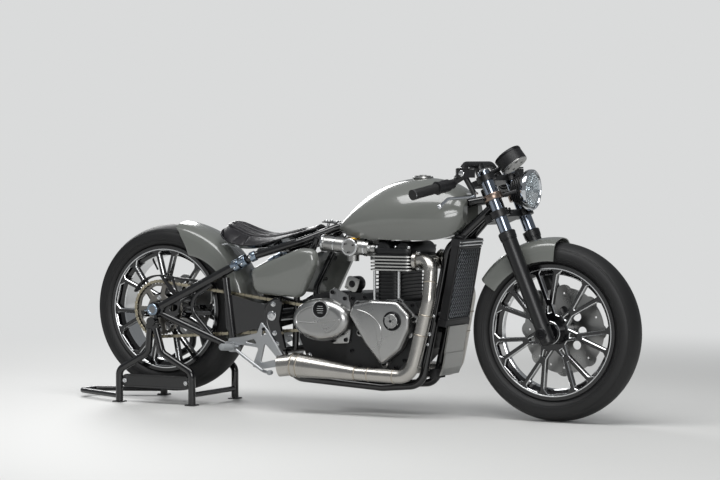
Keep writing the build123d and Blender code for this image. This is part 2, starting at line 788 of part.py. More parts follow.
def fender_section(radius, half, depth):
    """Draw the section of a fender: a crown, two bevels and two skirts of one sheet."""
    outer = [
        (radius, 0), (radius - 4, half * 0.32), (radius - 16, half * 0.7), (radius - 52, half * 0.97),
        (radius - depth, half),
    ]
    inner = [(r - fender_sheet, y) for r, y in outer[:-2]]
    inner += [(outer[-2][0], outer[-2][1] - fender_sheet), (outer[-1][0], outer[-1][1] - fender_sheet)]
    mirrored = [(r, -y) for r, y in outer[1:]]
    mirrored_inner = [(r, -y) for r, y in inner[1:]]
    points = [(r, y) for r, y in outer[::-1]] + mirrored + mirrored_inner[::-1] + inner
    Polygon(*points, align=None)


def make_fender(centre, radius, half, depth, first, last):
    """Make a fender as a section turned about a centre between two angles from +X."""
    start = Plane(
        origin=centre,
        x_dir=(cos(radians(first)), 0, sin(radians(first))),
        z_dir=(sin(radians(first)), 0, -cos(radians(first))),
    )
    with BuildPart() as fender:
        with BuildSketch(start):
            fender_section(radius, half, depth)
        revolve(axis=Axis(centre, (0, -1, 0)), revolution_arc=last - first)
    return fender.part


with BuildPart() as rear_fender:
    fender_centre = (rear_axle_x + fender_ahead, 0, rear_axle_z - fender_drop)
    add(make_fender(fender_centre, fender_radius, fender_half, 100, -17, 84))
    for side in (-1, 1):
        cross_bar(rear_axle_x + 274, rear_axle_z + 134, side * (fender_half - 3), side * (arm_y - 8), 16)
    add(swingarm.part, mode=Mode.SUBTRACT)
save(rear_fender, "rear_fender")

# Rear-sets: a bracket with two windows, an arm to the peg and the lever


peg_radius = 13
peg_length = 60
peg_sweep = 6
peg_rise = 5


def make_rearset(name, side):
    """Make the foot control of one side; the right side is -1 and the left side 1."""
    y_in, y_out = side * 152.3, side * 162
    near, far = (y_in, y_out) if side < 0 else (y_out, y_in)
    with BuildPart() as rearset:
        side_profile(
            [
                (engine_x - 501, 330), (engine_x - 470, 296), (engine_x - 404, 200), (engine_x - 432, 164),
                (engine_x - 500, 152), (engine_x - 540, 160), (engine_x - 512, 232), (engine_x - 590, 240),
                (engine_x - 640, 226), (engine_x - 646, 262), (engine_x - 596, 268), (engine_x - 520, 286),
            ],
            near,
            far,
            6,
        )
        peg_root = Vector(engine_x - 611, side * 198, 232)
        peg_way = Vector(-sin(radians(peg_sweep)), side * cos(radians(peg_sweep)), sin(radians(peg_rise))).normalized()
        cross_bar(engine_x - 632, 244, side * 156, side * 190, 20)
        straight_tube(peg_root - peg_way * 40, peg_root, 2 * peg_radius + 8)
        straight_tube(peg_root - peg_way * 40, peg_root + peg_way * peg_length, 2 * peg_radius)
        bent_tube(
            [
                (engine_x - 632, side * 184, 244), (engine_x - 590, side * 184, 216), (engine_x - 480, side * 186, 150),
                (engine_x - 440, side * 208, 145),
            ],
            12,
            14,
        )
    save(rearset, name)


make_rearset("rearset_right", -1)
make_rearset("rearset_left", 1)

caliper_depth = 50


def add_caliper(centre, ahead, above, disc_y, disc_outer):
    """Add a brake caliper that straddles its disc with a running gap on both sides."""
    with BuildSketch(side_plane(disc_y + disc_thickness + 26)) as body:
        with Locations((centre[0] + ahead, centre[2] + above)):
            RectangleRounded(64, 98, 18)
    extrude(body.sketch, amount=caliper_depth)
    with BuildSketch(side_plane(disc_y + disc_thickness + run_gap)) as slot:
        with Locations((centre[0], centre[2])):
            Circle(disc_outer + 5 + run_gap)
    extrude(slot.sketch, amount=disc_thickness + 2 * run_gap, mode=Mode.SUBTRACT)


with BuildPart() as rear_caliper:
    add_caliper(rear_centre, 96, 58, rear_disc_y, rear_disc_radius)
    cross_bar(rear_axle_x + 96, rear_axle_z + 47, rear_disc_y + 30, arm_y - 6, 20)
    add(swingarm.part, mode=Mode.SUBTRACT)
save(rear_caliper, "rear_caliper")

# Fork, clamps, bars and what they carry

leg_low = -34
leg_high = 363
clamp_low = 455
clamp_mid = 520
clamp_top = 606
leg_diameter = 56
stanchion_diameter = 45
with BuildPart() as fork_legs:
    for side in (-1, 1):
        straight_tube(fork_point(leg_low, side * half_fork), fork_point(leg_high, side * half_fork), leg_diameter)
        straight_tube(
            fork_point(leg_high, side * half_fork), fork_point(leg_high + 14, side * half_fork), leg_diameter + 6
        )
    with BuildSketch(side_plane(half_fork + 60)):
        with Locations((front_axle_x, front_axle_z)):
            Circle(axle_diameter / 2 + axle_clearance)
    extrude(amount=2 * (half_fork + 60), mode=Mode.SUBTRACT)
    with BuildSketch(fork_plane(leg_high - 120)):
        with Locations((0, half_fork), (0, -half_fork)):
            Circle(stanchion_diameter / 2)
    extrude(amount=160, mode=Mode.SUBTRACT)
save(fork_legs, "fork_legs")

front_fender_half = 74
fender_stay = fork_point(268)
with BuildPart() as front_fender:
    add(make_fender(front_centre, front_tyre_radius + 18, front_fender_half, 84, 86, 146))
    for side in (-1, 1):
        cross_bar(fender_stay.X, fender_stay.Z, side * (front_fender_half - 2), side * (half_fork - 26), 18)
    add(fork_legs.part, mode=Mode.SUBTRACT)
save(front_fender, "front_fender")

with BuildPart() as fork_tubes:
    for side in (-1, 1):
        straight_tube(
            fork_point(leg_high - 120, side * half_fork), fork_point(clamp_top + 12, side * half_fork), stanchion_diameter
        )
save(fork_tubes, "fork_tubes")

with BuildPart() as triple_clamps:
    for along, thickness, lead in ((clamp_low, 26, 0), (clamp_top - 14, 22, 0)):
        with BuildSketch(fork_plane(along - thickness / 2)):
            with Locations((0, half_fork), (0, -half_fork)):
                Circle(34)
            with Locations((-fork_lead / 2 - 8, 0)):
                RectangleRounded(fork_lead + 30, fork_spacing - 20, 16)
        extrude(amount=thickness)
    straight_tube(
        fork_point(clamp_low, 0, -fork_lead), fork_point(clamp_top - 4, 0, -fork_lead), stem_bore - 2 * axle_clearance
    )
    for side in (-1, 1):
        straight_tube(fork_point(clamp_mid - 9, side * half_fork), fork_point(clamp_mid + 9, side * half_fork), 62)
    with BuildSketch(fork_plane(clamp_low - 60)):
        with Locations((0, half_fork), (0, -half_fork)):
            Circle(stanchion_diameter / 2)
    extrude(amount=260, mode=Mode.SUBTRACT)
save(triple_clamps, "triple_clamps")

bar_rise = 62
bar_centre = fork_point(clamp_top + bar_rise, 0, -fork_lead - 6)
bar_diameter = 25.4
grip_end_y = handlebar_width / 2
with BuildPart() as handlebar:
    bar_points = [
        (bar_centre.X, 0, bar_centre.Z), (bar_centre.X, 110, bar_centre.Z), (bar_centre.X + 4, 210, bar_centre.Z - 66),
        (bar_centre.X - 68, grip_end_y - 4, bar_centre.Z - 104),
    ]
    bent_tube(bar_points, bar_diameter, 60)
    mirror(about=Plane.XZ)
    straight_tube(fork_point(clamp_top - 3 + seat_gap, 0, -fork_lead - 6), bar_centre, 40)
save(handlebar, "handlebar")

bar_bend, bar_end = Vector(*bar_points[2]), Vector(*bar_points[3])
grip_way = (bar_end - bar_bend).normalized()
grip_diameter = 34


def bar_place(distance, side):
    """Give the point on one side of the bar at a distance past its lower bend."""
    point = bar_bend + grip_way * distance
    return Vector(point.X, side * point.Y, point.Z)


grip_length = 118
grip_far = (bar_end - bar_bend).length + 4
with BuildPart() as grips:
    for side in (-1, 1):
        straight_tube(bar_place(grip_far - grip_length, side), bar_place(grip_far, side), grip_diameter)
        straight_tube(bar_place(grip_far - 12, side), bar_place(grip_far, side), grip_diameter + 4)
    add(handlebar.part, mode=Mode.SUBTRACT)
save(grips, "grips")

lever_points = [(78, -190, -108), (72, -240, -114), (40, -330, -118), (34, -380, -144)]
with BuildPart() as hand_levers:
    bent_tube([(bar_centre.X + x, y, bar_centre.Z + z) for x, y, z in lever_points], 11, 24)
    with Locations((bar_centre.X + 34, -380, bar_centre.Z - 144)):
        Sphere(9)
    mirror(about=Plane.XZ)
save(hand_levers, "hand_levers")

housing_near = 28
with BuildPart() as control_housings:
    for side in (-1, 1):
        straight_tube(
            bar_place(housing_near, side), bar_place(grip_far - grip_length - 1, side), grip_diameter + 10
        )
        clamp_start = bar_place(housing_near - 24, side)
        straight_tube(clamp_start, bar_place(housing_near, side), grip_diameter)
        reservoir = Plane(
            origin=clamp_start + Vector(46, side * -6, 22), x_dir=(1, 0, 0), z_dir=(0, 0, 1)
        )
        with BuildSketch(reservoir):
            RegularPolygon(38, 6)
        extrude(amount=30)
        straight_tube(clamp_start + Vector(-4, 0, 2), clamp_start + Vector(46, side * -6, 32), 24)
        pivot = Vector(bar_centre.X + 78, side * 190, bar_centre.Z - 108)
        straight_tube(clamp_start + Vector(46, side * -6, 24), pivot + Vector(0, 0, 2), 20)
    add(handlebar.part, mode=Mode.SUBTRACT)
    add(hand_levers.part, mode=Mode.SUBTRACT)
save(control_housings, "control_housings")

lamp_centre = fork_point(504, 0, 104)
lamp_radius = 70
lamp_plane = Plane(origin=lamp_centre, x_dir=(0, 1, 0), z_dir=(1, 0, 0))
with BuildPart() as headlight_shell:
    with BuildSketch(lamp_plane.offset(-16)):
        Circle(lamp_radius)
    extrude(amount=16)
    with BuildSketch(lamp_plane.offset(-66)):
        Circle(40)
    with BuildSketch(lamp_plane.offset(-16)):
        Circle(lamp_radius - 8)
    loft()
    for side in (-1, 1):
        straight_tube(
            (lamp_centre.X - 24, side * (lamp_radius - 22), lamp_centre.Z),
            fork_point(clamp_mid, side * (half_fork - 31), 0),
            16,
        )
    with BuildSketch(lamp_plane.offset(-8)):
        Circle(lamp_radius - 4)
    extrude(amount=8, mode=Mode.SUBTRACT)
    add(triple_clamps.part, mode=Mode.SUBTRACT)
save(headlight_shell, "headlight_shell")

with BuildPart() as headlight_lens:
    with BuildSketch(lamp_plane.offset(-7)):
        Circle(lamp_radius - 4 - seat_gap)
    extrude(amount=14)
    fillet(headlight_lens.faces().sort_by(Axis.X)[-1].edges(), 6)
save(headlight_lens, "headlight_lens")

speedometer_centre = fork_point(clamp_top + 28, 0, 71)
speedometer_face = Plane(origin=speedometer_centre, x_dir=(0, 1, 0), z_dir=(-0.62, 0, 0.78))
with BuildPart() as speedometer:
    with BuildSketch(speedometer_face.offset(-25)):
        Circle(52)
    extrude(amount=50)
    fillet(speedometer.faces().sort_by(Axis.Z)[0].edges(), 4)
    straight_tube(fork_point(clamp_top + 14, 0, -fork_lead), speedometer_centre + Vector(-6, 0, -14), 16)
    add(handlebar.part, mode=Mode.SUBTRACT)
save(speedometer, "speedometer")

with BuildPart() as front_axle:
    cross_bar(front_axle_x, front_axle_z, -half_fork - 36, half_fork + 36, axle_diameter)
    for side in (-1, 1):
        cross_bar(front_axle_x, front_axle_z, side * (half_fork + 28.3), side * (half_fork + 36), 40)
save(front_axle, "front_axle")

with BuildPart() as front_caliper:
    add_caliper(front_centre, -118, 92, front_disc_y, disc_radius)
    for height in (70, 118):
        lug_y = half_fork - 16
        straight_tube(
            (front_axle_x - 100, lug_y, front_axle_z + height), (front_axle_x - 44, lug_y, front_axle_z + height), 13
        )
    add(fork_legs.part, mode=Mode.SUBTRACT)
save(front_caliper, "front_caliper")

# Side stand on the left, folded back below the frame

stand_length = 116
with BuildPart() as side_stand:
    straight_tube(stand_pivot - stand_axis * boss_length / 2, stand_pivot + stand_axis * boss_length / 2, 26)
    leg_end = stand_pivot + Vector(-stand_length, 0, 0)
    straight_tube(stand_pivot, leg_end, 15)
    straight_tube(leg_end + Vector(0, -4, 0), leg_end + Vector(0, 14, 3), 20)
    bore_plane = Plane(origin=stand_pivot - stand_axis * boss_length, z_dir=stand_axis)
    with BuildSketch(bore_plane):
        Circle(5 + axle_clearance)
    extrude(amount=2 * boss_length, mode=Mode.SUBTRACT)
save(side_stand, "side_stand")
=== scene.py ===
import json
import logging
import math
from collections.abc import Iterable, Sequence
from dataclasses import dataclass, field
from enum import Enum

import bmesh
import bpy
from mathutils import Matrix, Vector
from mathutils.bvhtree import BVHTree

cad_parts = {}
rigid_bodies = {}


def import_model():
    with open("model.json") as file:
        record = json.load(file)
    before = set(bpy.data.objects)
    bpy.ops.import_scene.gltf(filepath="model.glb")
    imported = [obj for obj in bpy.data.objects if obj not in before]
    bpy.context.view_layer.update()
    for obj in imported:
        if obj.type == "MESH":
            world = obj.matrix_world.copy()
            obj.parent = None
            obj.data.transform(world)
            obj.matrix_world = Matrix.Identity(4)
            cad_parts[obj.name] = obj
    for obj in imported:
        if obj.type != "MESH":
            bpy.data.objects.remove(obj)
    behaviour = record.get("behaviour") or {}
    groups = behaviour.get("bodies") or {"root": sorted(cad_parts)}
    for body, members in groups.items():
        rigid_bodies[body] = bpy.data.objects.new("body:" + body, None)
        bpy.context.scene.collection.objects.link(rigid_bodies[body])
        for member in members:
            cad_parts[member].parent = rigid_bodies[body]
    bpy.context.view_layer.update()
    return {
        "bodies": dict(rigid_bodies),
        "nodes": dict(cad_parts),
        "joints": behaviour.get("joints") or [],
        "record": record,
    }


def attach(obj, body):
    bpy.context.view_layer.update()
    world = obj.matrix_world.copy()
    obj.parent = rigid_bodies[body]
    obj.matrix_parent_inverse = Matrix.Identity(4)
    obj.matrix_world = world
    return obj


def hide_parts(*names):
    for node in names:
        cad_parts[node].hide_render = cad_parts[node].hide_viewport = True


LOG = logging.getLogger("bobber")
MM = 0.001
SHARP_DEG = 34

Solid = bmesh.types.BMesh
Flat = tuple[float, float]
Row = tuple[float, float, float]
Outline = Sequence[Flat]

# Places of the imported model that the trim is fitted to, in millimetres
ENGINE_X = 228.0
FRONT_AXLE = Vector((853.5, 0.0, 320.0))
REAR_AXLE = Vector((-754.5, 0.0, 360.0))
PIVOT = Vector((-232.0, 0.0, 352.0))
RAKE = math.radians(22.8)
STEER_UP = Vector((-math.sin(RAKE), 0.0, math.cos(RAKE)))
STEER_AHEAD = Vector((math.cos(RAKE), 0.0, math.sin(RAKE)))
HALF_FORK = 105.0
FORK_LEAD = 50.0
ARM_Y = 137.0
SIDES = (-1, 1)


def linear(code: str) -> tuple[float, float, float, float]:
    """Turn an sRGB hex value into linear colour.

    Args:
        code: six hex digits, such as "8a8f8c".

    Returns:
        Linear red, green, blue and an alpha of 1.
    """
    parts = [int(code[place:place + 2], 16) / 255 for place in (0, 2, 4)]
    red, green, blue = (part / 12.92 if part <= 0.04045 else ((part + 0.055) / 1.055) ** 2.4 for part in parts)
    return red, green, blue, 1.0


def add(tree: bpy.types.NodeTree, kind: str, values: dict | None = None, links: dict | None = None,
        **settings: object) -> bpy.types.Node:
    """Add one node with its settings, its socket values and its links.

    Args:
        tree: the node tree that takes the node.
        kind: the node's type name.
        values: socket name or number to value.
        links: socket name or number to the output socket that feeds it.
        **settings: attributes of the node itself.

    Returns:
        The new node.
    """
    node = tree.nodes.new(kind)
    for name, value in settings.items():
        setattr(node, name, value)
    for socket, value in (values or {}).items():
        node.inputs[socket].default_value = value
    for socket, source in (links or {}).items():
        tree.links.new(source, node.inputs[socket])
    return node


def fork_point(along: float, aside: float = 0.0, ahead: float = 0.0) -> Vector:
    """Give the point at a distance up the fork, to its left and ahead of its legs, in millimetres."""
    return FRONT_AXLE + STEER_UP * along + STEER_AHEAD * ahead + Vector((0.0, aside, 0.0))


def stand_at(place: Sequence[float], axis: Sequence[float] = (0, 0, 1), roll: float = 0.0) -> Matrix:
    """Give the matrix that stands a shape at a place with its own Z along an axis.

    Args:
        place: where the shape's foot goes, in millimetres.
        axis: where the shape's Z points.
        roll: turn about that axis in degrees.

    Returns:
        The matrix.
    """
    turn = Vector(axis).to_track_quat("Z", "Y").to_matrix().to_4x4()
    return Matrix.Translation(Vector(place)) @ turn @ Matrix.Rotation(math.radians(roll), 4, "Z")


def side_at(x: float, y: float, z: float, roll: float = 0.0) -> Matrix:
    """Stand a shape on the machine's side at a place, pointing away from the middle plane.

    Args:
        x: place along the machine, forward.
        y: place across it, negative on its right side.
        z: height above the floor.
        roll: turn about the outward axis in degrees.

    Returns:
        The matrix.
    """
    way = -1.0 if y < 0 else 1.0
    frame = Matrix(((-way, 0, 0, x), (0, 0, way, y), (0, 1, 0, z), (0, 0, 0, 1)))
    return frame @ Matrix.Rotation(math.radians(roll), 4, "Z")


def linked(name: str, data: bpy.types.ID) -> bpy.types.Object:
    """Put data on a new object in the scene.

    Args:
        name: the object's name.
        data: its mesh, lamp or camera.

    Returns:
        The new object.
    """
    made = bpy.data.objects.new(name, data)
    bpy.context.scene.collection.objects.link(made)
    return made


def merge(whole: Solid, part: Solid, places: Iterable[Matrix] = (Matrix(),)) -> None:
    """Copy a solid into another at each place, and use it up.

    Args:
        whole: the solid that takes the copies.
        part: the solid that is copied.
        places: one matrix for each copy.
    """
    held = bpy.data.meshes.new("held")
    part.to_mesh(held)
    part.free()
    for place in places:
        held.transform(place)
        whole.from_mesh(held)
        held.transform(place.inverted())
    bpy.data.meshes.remove(held)


# Simple solids, each standing at its own origin along Z, in millimetres

def bevel_edges(part: Solid, edges: Sequence[bmesh.types.BMEdge], width: float, segments: int = 2,
                slot: int = -1) -> None:
    """Round or cut some edges of a solid.

    Args:
        part: the solid.
        edges: its edges that are worked.
        width: how far the bevel reaches.
        segments: steps across it, 1 for a flat cut.
        slot: the finish of the bevel, or -1 for the faces' own.
    """
    bmesh.ops.bevel(part, geom=edges, offset=width, segments=segments, affect="EDGES", profile=0.5, material=slot)


def bevel_rims(part: Solid, width: float, segments: int = 2) -> None:
    """Round every edge that lies flat in Z, as at the ends of a bar."""
    flat = [edge for edge in part.edges if abs(edge.verts[0].co.z - edge.verts[1].co.z) < 1e-5]
    bevel_edges(part, flat, width, segments)


def rod(length: float, radius: float, end_radius: float | None = None, sides: int = 24,
        round_mm: float = 0.0) -> Solid:
    """Make a bar or a cone from its foot up, with rounded rims where asked.

    Args:
        length: how long it is.
        radius: its radius.
        end_radius: the radius at its far end, or None for the same.
        sides: sides of each round.
        round_mm: how far its edges are rounded.

    Returns:
        The bar.
    """
    part = bmesh.new()
    bmesh.ops.create_cone(part, cap_ends=True, segments=sides, radius1=radius,
                          radius2=radius if end_radius is None else end_radius, depth=length)
    bmesh.ops.translate(part, verts=part.verts, vec=(0, 0, length / 2))
    if round_mm:
        bevel_rims(part, round_mm)
    return part


def turned(profile: Outline, sides: int = 64) -> Solid:
    """Turn a closed outline of (radius, height) points about Z, as on a lathe.

    Args:
        profile: its section as (radius, height) points.
        sides: steps of the turn.

    Returns:
        The turned solid.
    """
    part = bmesh.new()
    corners = [part.verts.new((radius, 0.0, height)) for radius, height in profile]
    edges = [part.edges.new((corners[i], corners[(i + 1) % len(corners)])) for i in range(len(corners))]
    bmesh.ops.spin(part, geom=corners + edges, cent=(0, 0, 0), axis=(0, 0, 1), angle=math.tau, steps=sides,
                   use_merge=True, use_duplicate=False)
    bmesh.ops.remove_doubles(part, verts=part.verts, dist=1e-4)
    bmesh.ops.dissolve_degenerate(part, dist=1e-4, edges=part.edges)
    return part


def plate(outline: Outline, thickness: float, round_mm: float = 0.0,
          segments: int = 2) -> Solid:
    """Make a flat plate from an outline in X and Y, with its rims rounded where asked.

    Args:
        outline: its outline in X and Y.
        thickness: how thick it is.
        round_mm: how far its edges are rounded.
        segments: steps across each rounded rim.

    Returns:
        The plate.
    """
    part = bmesh.new()
    corners = [part.verts.new((x, y, 0.0)) for x, y in outline]
    bmesh.ops.contextual_create(part, geom=corners)
    made = bmesh.ops.extrude_face_region(part, geom=part.faces[:])
    top = [item for item in made["geom"] if isinstance(item, bmesh.types.BMVert)]
    bmesh.ops.translate(part, verts=top, vec=(0, 0, thickness))
    if round_mm:
        bevel_rims(part, round_mm, segments)
    return part


def rounded_outline(length: float, width: float, radius: float, steps: int = 6) -> list[Flat]:
    """Give the outline of a rectangle with round corners.

    Args:
        length: how long it is.
        width: how wide it is.
        radius: radius of its corners.
        steps: places in each curve.

    Returns:
        The outline.
    """
    points = []
    for turn, (sx, sy) in enumerate(((1, 1), (-1, 1), (-1, -1), (1, -1))):
        for step in range(steps + 1):
            angle = math.radians(90 * turn + 90 * step / steps)
            points.append((sx * (length / 2 - radius) + radius * math.cos(angle),
                           sy * (width / 2 - radius) + radius * math.sin(angle)))
    return points


def block(length: float, width: float, height: float, round_mm: float = 0.5) -> Solid:
    """Make a block that stands on Z 0 with all its edges rounded.

    Args:
        length: how long it is.
        width: how wide it is.
        height: how high it is.
        round_mm: how far its edges are rounded.

    Returns:
        The block.
    """
    part = bmesh.new()
    bmesh.ops.create_cube(part, size=1.0)
    bmesh.ops.scale(part, vec=(length, width, height), verts=part.verts)
    bmesh.ops.translate(part, verts=part.verts, vec=(0, 0, height / 2))
    bevel_edges(part, part.edges[:], round_mm)
    return part


def socket_bolt(radius: float, height: float, sides: int = 18) -> Solid:
    """Make the head of a socket bolt: a rounded drum with a hexagon pressed in.

    Args:
        radius: its radius.
        height: how high it is.
        sides: sides of each round.

    Returns:
        The head.
    """
    part = rod(height, radius, sides=sides, round_mm=radius * 0.14)
    part.faces.ensure_lookup_table()
    top = max(part.faces, key=lambda face: face.calc_center_median().z * 1000 + face.calc_area())
    bmesh.ops.inset_region(part, faces=[top], thickness=radius * 0.34)
    bmesh.ops.translate(part, verts=top.verts[:], vec=(0, 0, -height * 0.55))
    return part


def hex_nut(radius: float, height: float) -> Solid:
    """Make a hexagon nut with cut corners on a thin washer.

    Args:
        radius: radius of its corners.
        height: how high it is.

    Returns:
        The nut with its washer and stud.
    """
    part = bmesh.new()
    bmesh.ops.create_cone(part, cap_ends=True, segments=6, radius1=radius, radius2=radius, depth=height)
    bmesh.ops.translate(part, verts=part.verts, vec=(0, 0, height / 2 + 1))
    bevel_rims(part, radius * 0.1)
    washer = rod(1.2, radius * 1.22, sides=24, round_mm=0.3)
    stud = rod(height + 3, radius * 0.5, sides=16, round_mm=0.5)
    for extra in (washer, stud):
        merge(part, extra)
    return part


def button_head(radius: float, height: float, sides: int = 24) -> Solid:
    """Make a domed screw head with a round socket.

    Args:
        radius: its radius.
        height: how high it is.
        sides: sides of each round.

    Returns:
        The head.
    """
    return turned([(0.01, height * 0.45), (radius * 0.38, height * 0.45), (radius * 0.42, height),
                   (radius * 0.62, height * 0.92), (radius * 0.86, height * 0.62), (radius, height * 0.18),
                   (radius, 0), (0.01, 0)], sides)


def tube(way: Sequence[Vector], radius: float, sides: int = 10, closed: bool = False) -> Solid:
    """Draw a round section along a way of points by repeated extrusion.

    Args:
        way: places along its middle line.
        radius: radius of its section.
        sides: sides of its section.
        closed: whether the line comes back to its start.

    Returns:
        The tube.
    """
    part = bmesh.new()
    points = [Vector(point) for point in way]
    count = len(points)
    first = None
    ring: list[bmesh.types.BMVert] = []
    edges: list[bmesh.types.BMEdge] = []
    for step, point in enumerate(points):
        before = points[step - 1] if step or closed else point
        after = points[(step + 1) % count] if step < count - 1 or closed else point
        heading = (after - before).normalized()
        if not ring:
            made = bmesh.ops.create_circle(part, cap_ends=not closed, segments=sides, radius=radius)
            ring = made["verts"]
            turn = heading.to_track_quat("Z", "Y")
            bmesh.ops.rotate(part, verts=ring, cent=(0, 0, 0), matrix=turn.to_matrix())
            edges = list({edge for vert in ring for edge in vert.link_edges})
            bmesh.ops.translate(part, verts=ring, vec=point)
            first = edges
        else:
            made = bmesh.ops.extrude_edge_only(part, edges=edges)
            ring = [item for item in made["geom"] if isinstance(item, bmesh.types.BMVert)]
            edges = [item for item in made["geom"] if isinstance(item, bmesh.types.BMEdge)
                     and item.verts[0] in ring and item.verts[1] in ring]
            bmesh.ops.translate(part, verts=ring, vec=point - last_point)
            swing = last_heading.rotation_difference(heading)
            bmesh.ops.rotate(part, verts=ring, cent=point, matrix=swing.to_matrix())
        last_point, last_heading = point, heading
    if closed:
        bmesh.ops.bridge_loops(part, edges=edges + first)
    else:
        bmesh.ops.contextual_create(part, geom=edges)
    return part


def smooth_way(points: Sequence[Sequence[float]], steps: int = 6, closed: bool = False) -> list[Vector]:
    """Pass a smooth curve through points and give places along it.

    Args:
        points: places that the curve passes through.
        steps: places in each curve.
        closed: whether the line comes back to its start.

    Returns:
        Places along it.
    """
    knots = [Vector(point) for point in points]
    count = len(knots)
    spans = range(count if closed else count - 1)
    way = []
    for span in spans:
        if closed:
            before, start, end, after = (knots[(span + i) % count] for i in (-1, 0, 1, 2))
        else:
            before, start, end, after = (knots[min(max(span + i, 0), count - 1)] for i in (-1, 0, 1, 2))
        for step in range(steps):
            t = step / steps
            way.append(0.5 * (2 * start + (end - before) * t + (2 * before - 5 * start + 4 * end - after) * t**2
                              + (3 * start - before - 3 * end + after) * t**3))
    if not closed:
        way.append(knots[-1])
    return way


class Grain(Enum):
    """How a finish's surface was left, which sets its bump pattern."""

    SMOOTH = "smooth"
    CAST = "cast"
    BRUSHED = "brushed"
    PEBBLED = "pebbled"


@dataclass(frozen=True)
class Finish:
    """A finish of one real material, with its colour, gloss and surface pattern."""

    name: str
    colour: str
    roughness: float
    metallic: float = 0.0
    coat: float = 0.0
    grain: Grain = Grain.SMOOTH
    grain_mm: float = 2.0
    depth_mm: float = 0.0
    mottle: float = 0.06
    mottle_mm: float = 60.0
    stretch: Row = (1.0, 1.0, 1.0)

    def material(self) -> bpy.types.Material:
        """Build the material once and give it again on later calls.

        Returns:
            The material.
        """
        found = bpy.data.materials.get(self.name)
        if found:
            return found
        made = bpy.data.materials.new(self.name)
        made.use_nodes = True
        tree = made.node_tree
        tree.nodes.clear()
        place = add(tree, "ShaderNodeTexCoord").outputs["Object"]
        shader = add(tree, "ShaderNodeBsdfPrincipled", {
            "Base Color": linear(self.colour), "Roughness": self.roughness, "Metallic": self.metallic,
            "Coat Weight": self.coat, "Coat Roughness": 0.04,
        })
        self.shade(tree, place, shader)
        self.relief(tree, place, shader)
        add(tree, "ShaderNodeOutputMaterial", links={"Surface": shader.outputs["BSDF"]})
        return made

    def shade(self, tree: bpy.types.NodeTree, place: bpy.types.NodeSocket, shader: bpy.types.Node) -> None:
        """Vary the colour and the gloss in soft patches, as handled or sprayed surfaces do.

        Args:
            tree: the node tree.
            place: the Object coordinates.
            shader: the shader that takes it.
        """
        patches = add(tree, "ShaderNodeTexNoise", {"Scale": 1 / (self.mottle_mm * MM), "Detail": 4.0},
                      {"Vector": place})
        base = linear(self.colour)
        dark = tuple(part * (1 - self.mottle) for part in base[:3]) + (1.0,)
        light = tuple(min(1.0, part * (1 + self.mottle)) for part in base[:3]) + (1.0,)
        ramp = add(tree, "ShaderNodeMix", {6: dark, 7: light}, {0: patches.outputs["Fac"]}, data_type="RGBA")
        tree.links.new(ramp.outputs[2], shader.inputs["Base Color"])
        gloss = add(tree, "ShaderNodeMapRange", {
            "From Min": 0.3, "From Max": 0.7,
            "To Min": self.roughness * 0.95, "To Max": min(1.0, self.roughness * 1.05),
        }, {"Value": patches.outputs["Fac"]})
        tree.links.new(gloss.outputs["Result"], shader.inputs["Roughness"])

    def relief(self, tree: bpy.types.NodeTree, place: bpy.types.NodeSocket, shader: bpy.types.Node) -> None:
        """Give the surface the bump of its grain at the real size in millimetres.

        Args:
            tree: the node tree.
            place: the Object coordinates.
            shader: the shader that takes it.
        """
        if self.depth_mm == 0:
            return
        stretched = add(tree, "ShaderNodeMapping", {"Scale": self.stretch}, {"Vector": place})
        scale = 1 / (self.grain_mm * MM)
        if self.grain is Grain.PEBBLED:
            pattern = add(tree, "ShaderNodeTexVoronoi", {"Scale": scale}, {"Vector": stretched.outputs[0]})
            height = pattern.outputs["Distance"]
        else:
            pattern = add(tree, "ShaderNodeTexNoise", {"Scale": scale, "Detail": 3.0},
                          {"Vector": stretched.outputs[0]})
            height = pattern.outputs["Fac"]
        bump = add(tree, "ShaderNodeBump", {"Strength": 1.0, "Distance": self.depth_mm * MM}, {"Height": height})
        tree.links.new(bump.outputs["Normal"], shader.inputs["Normal"])


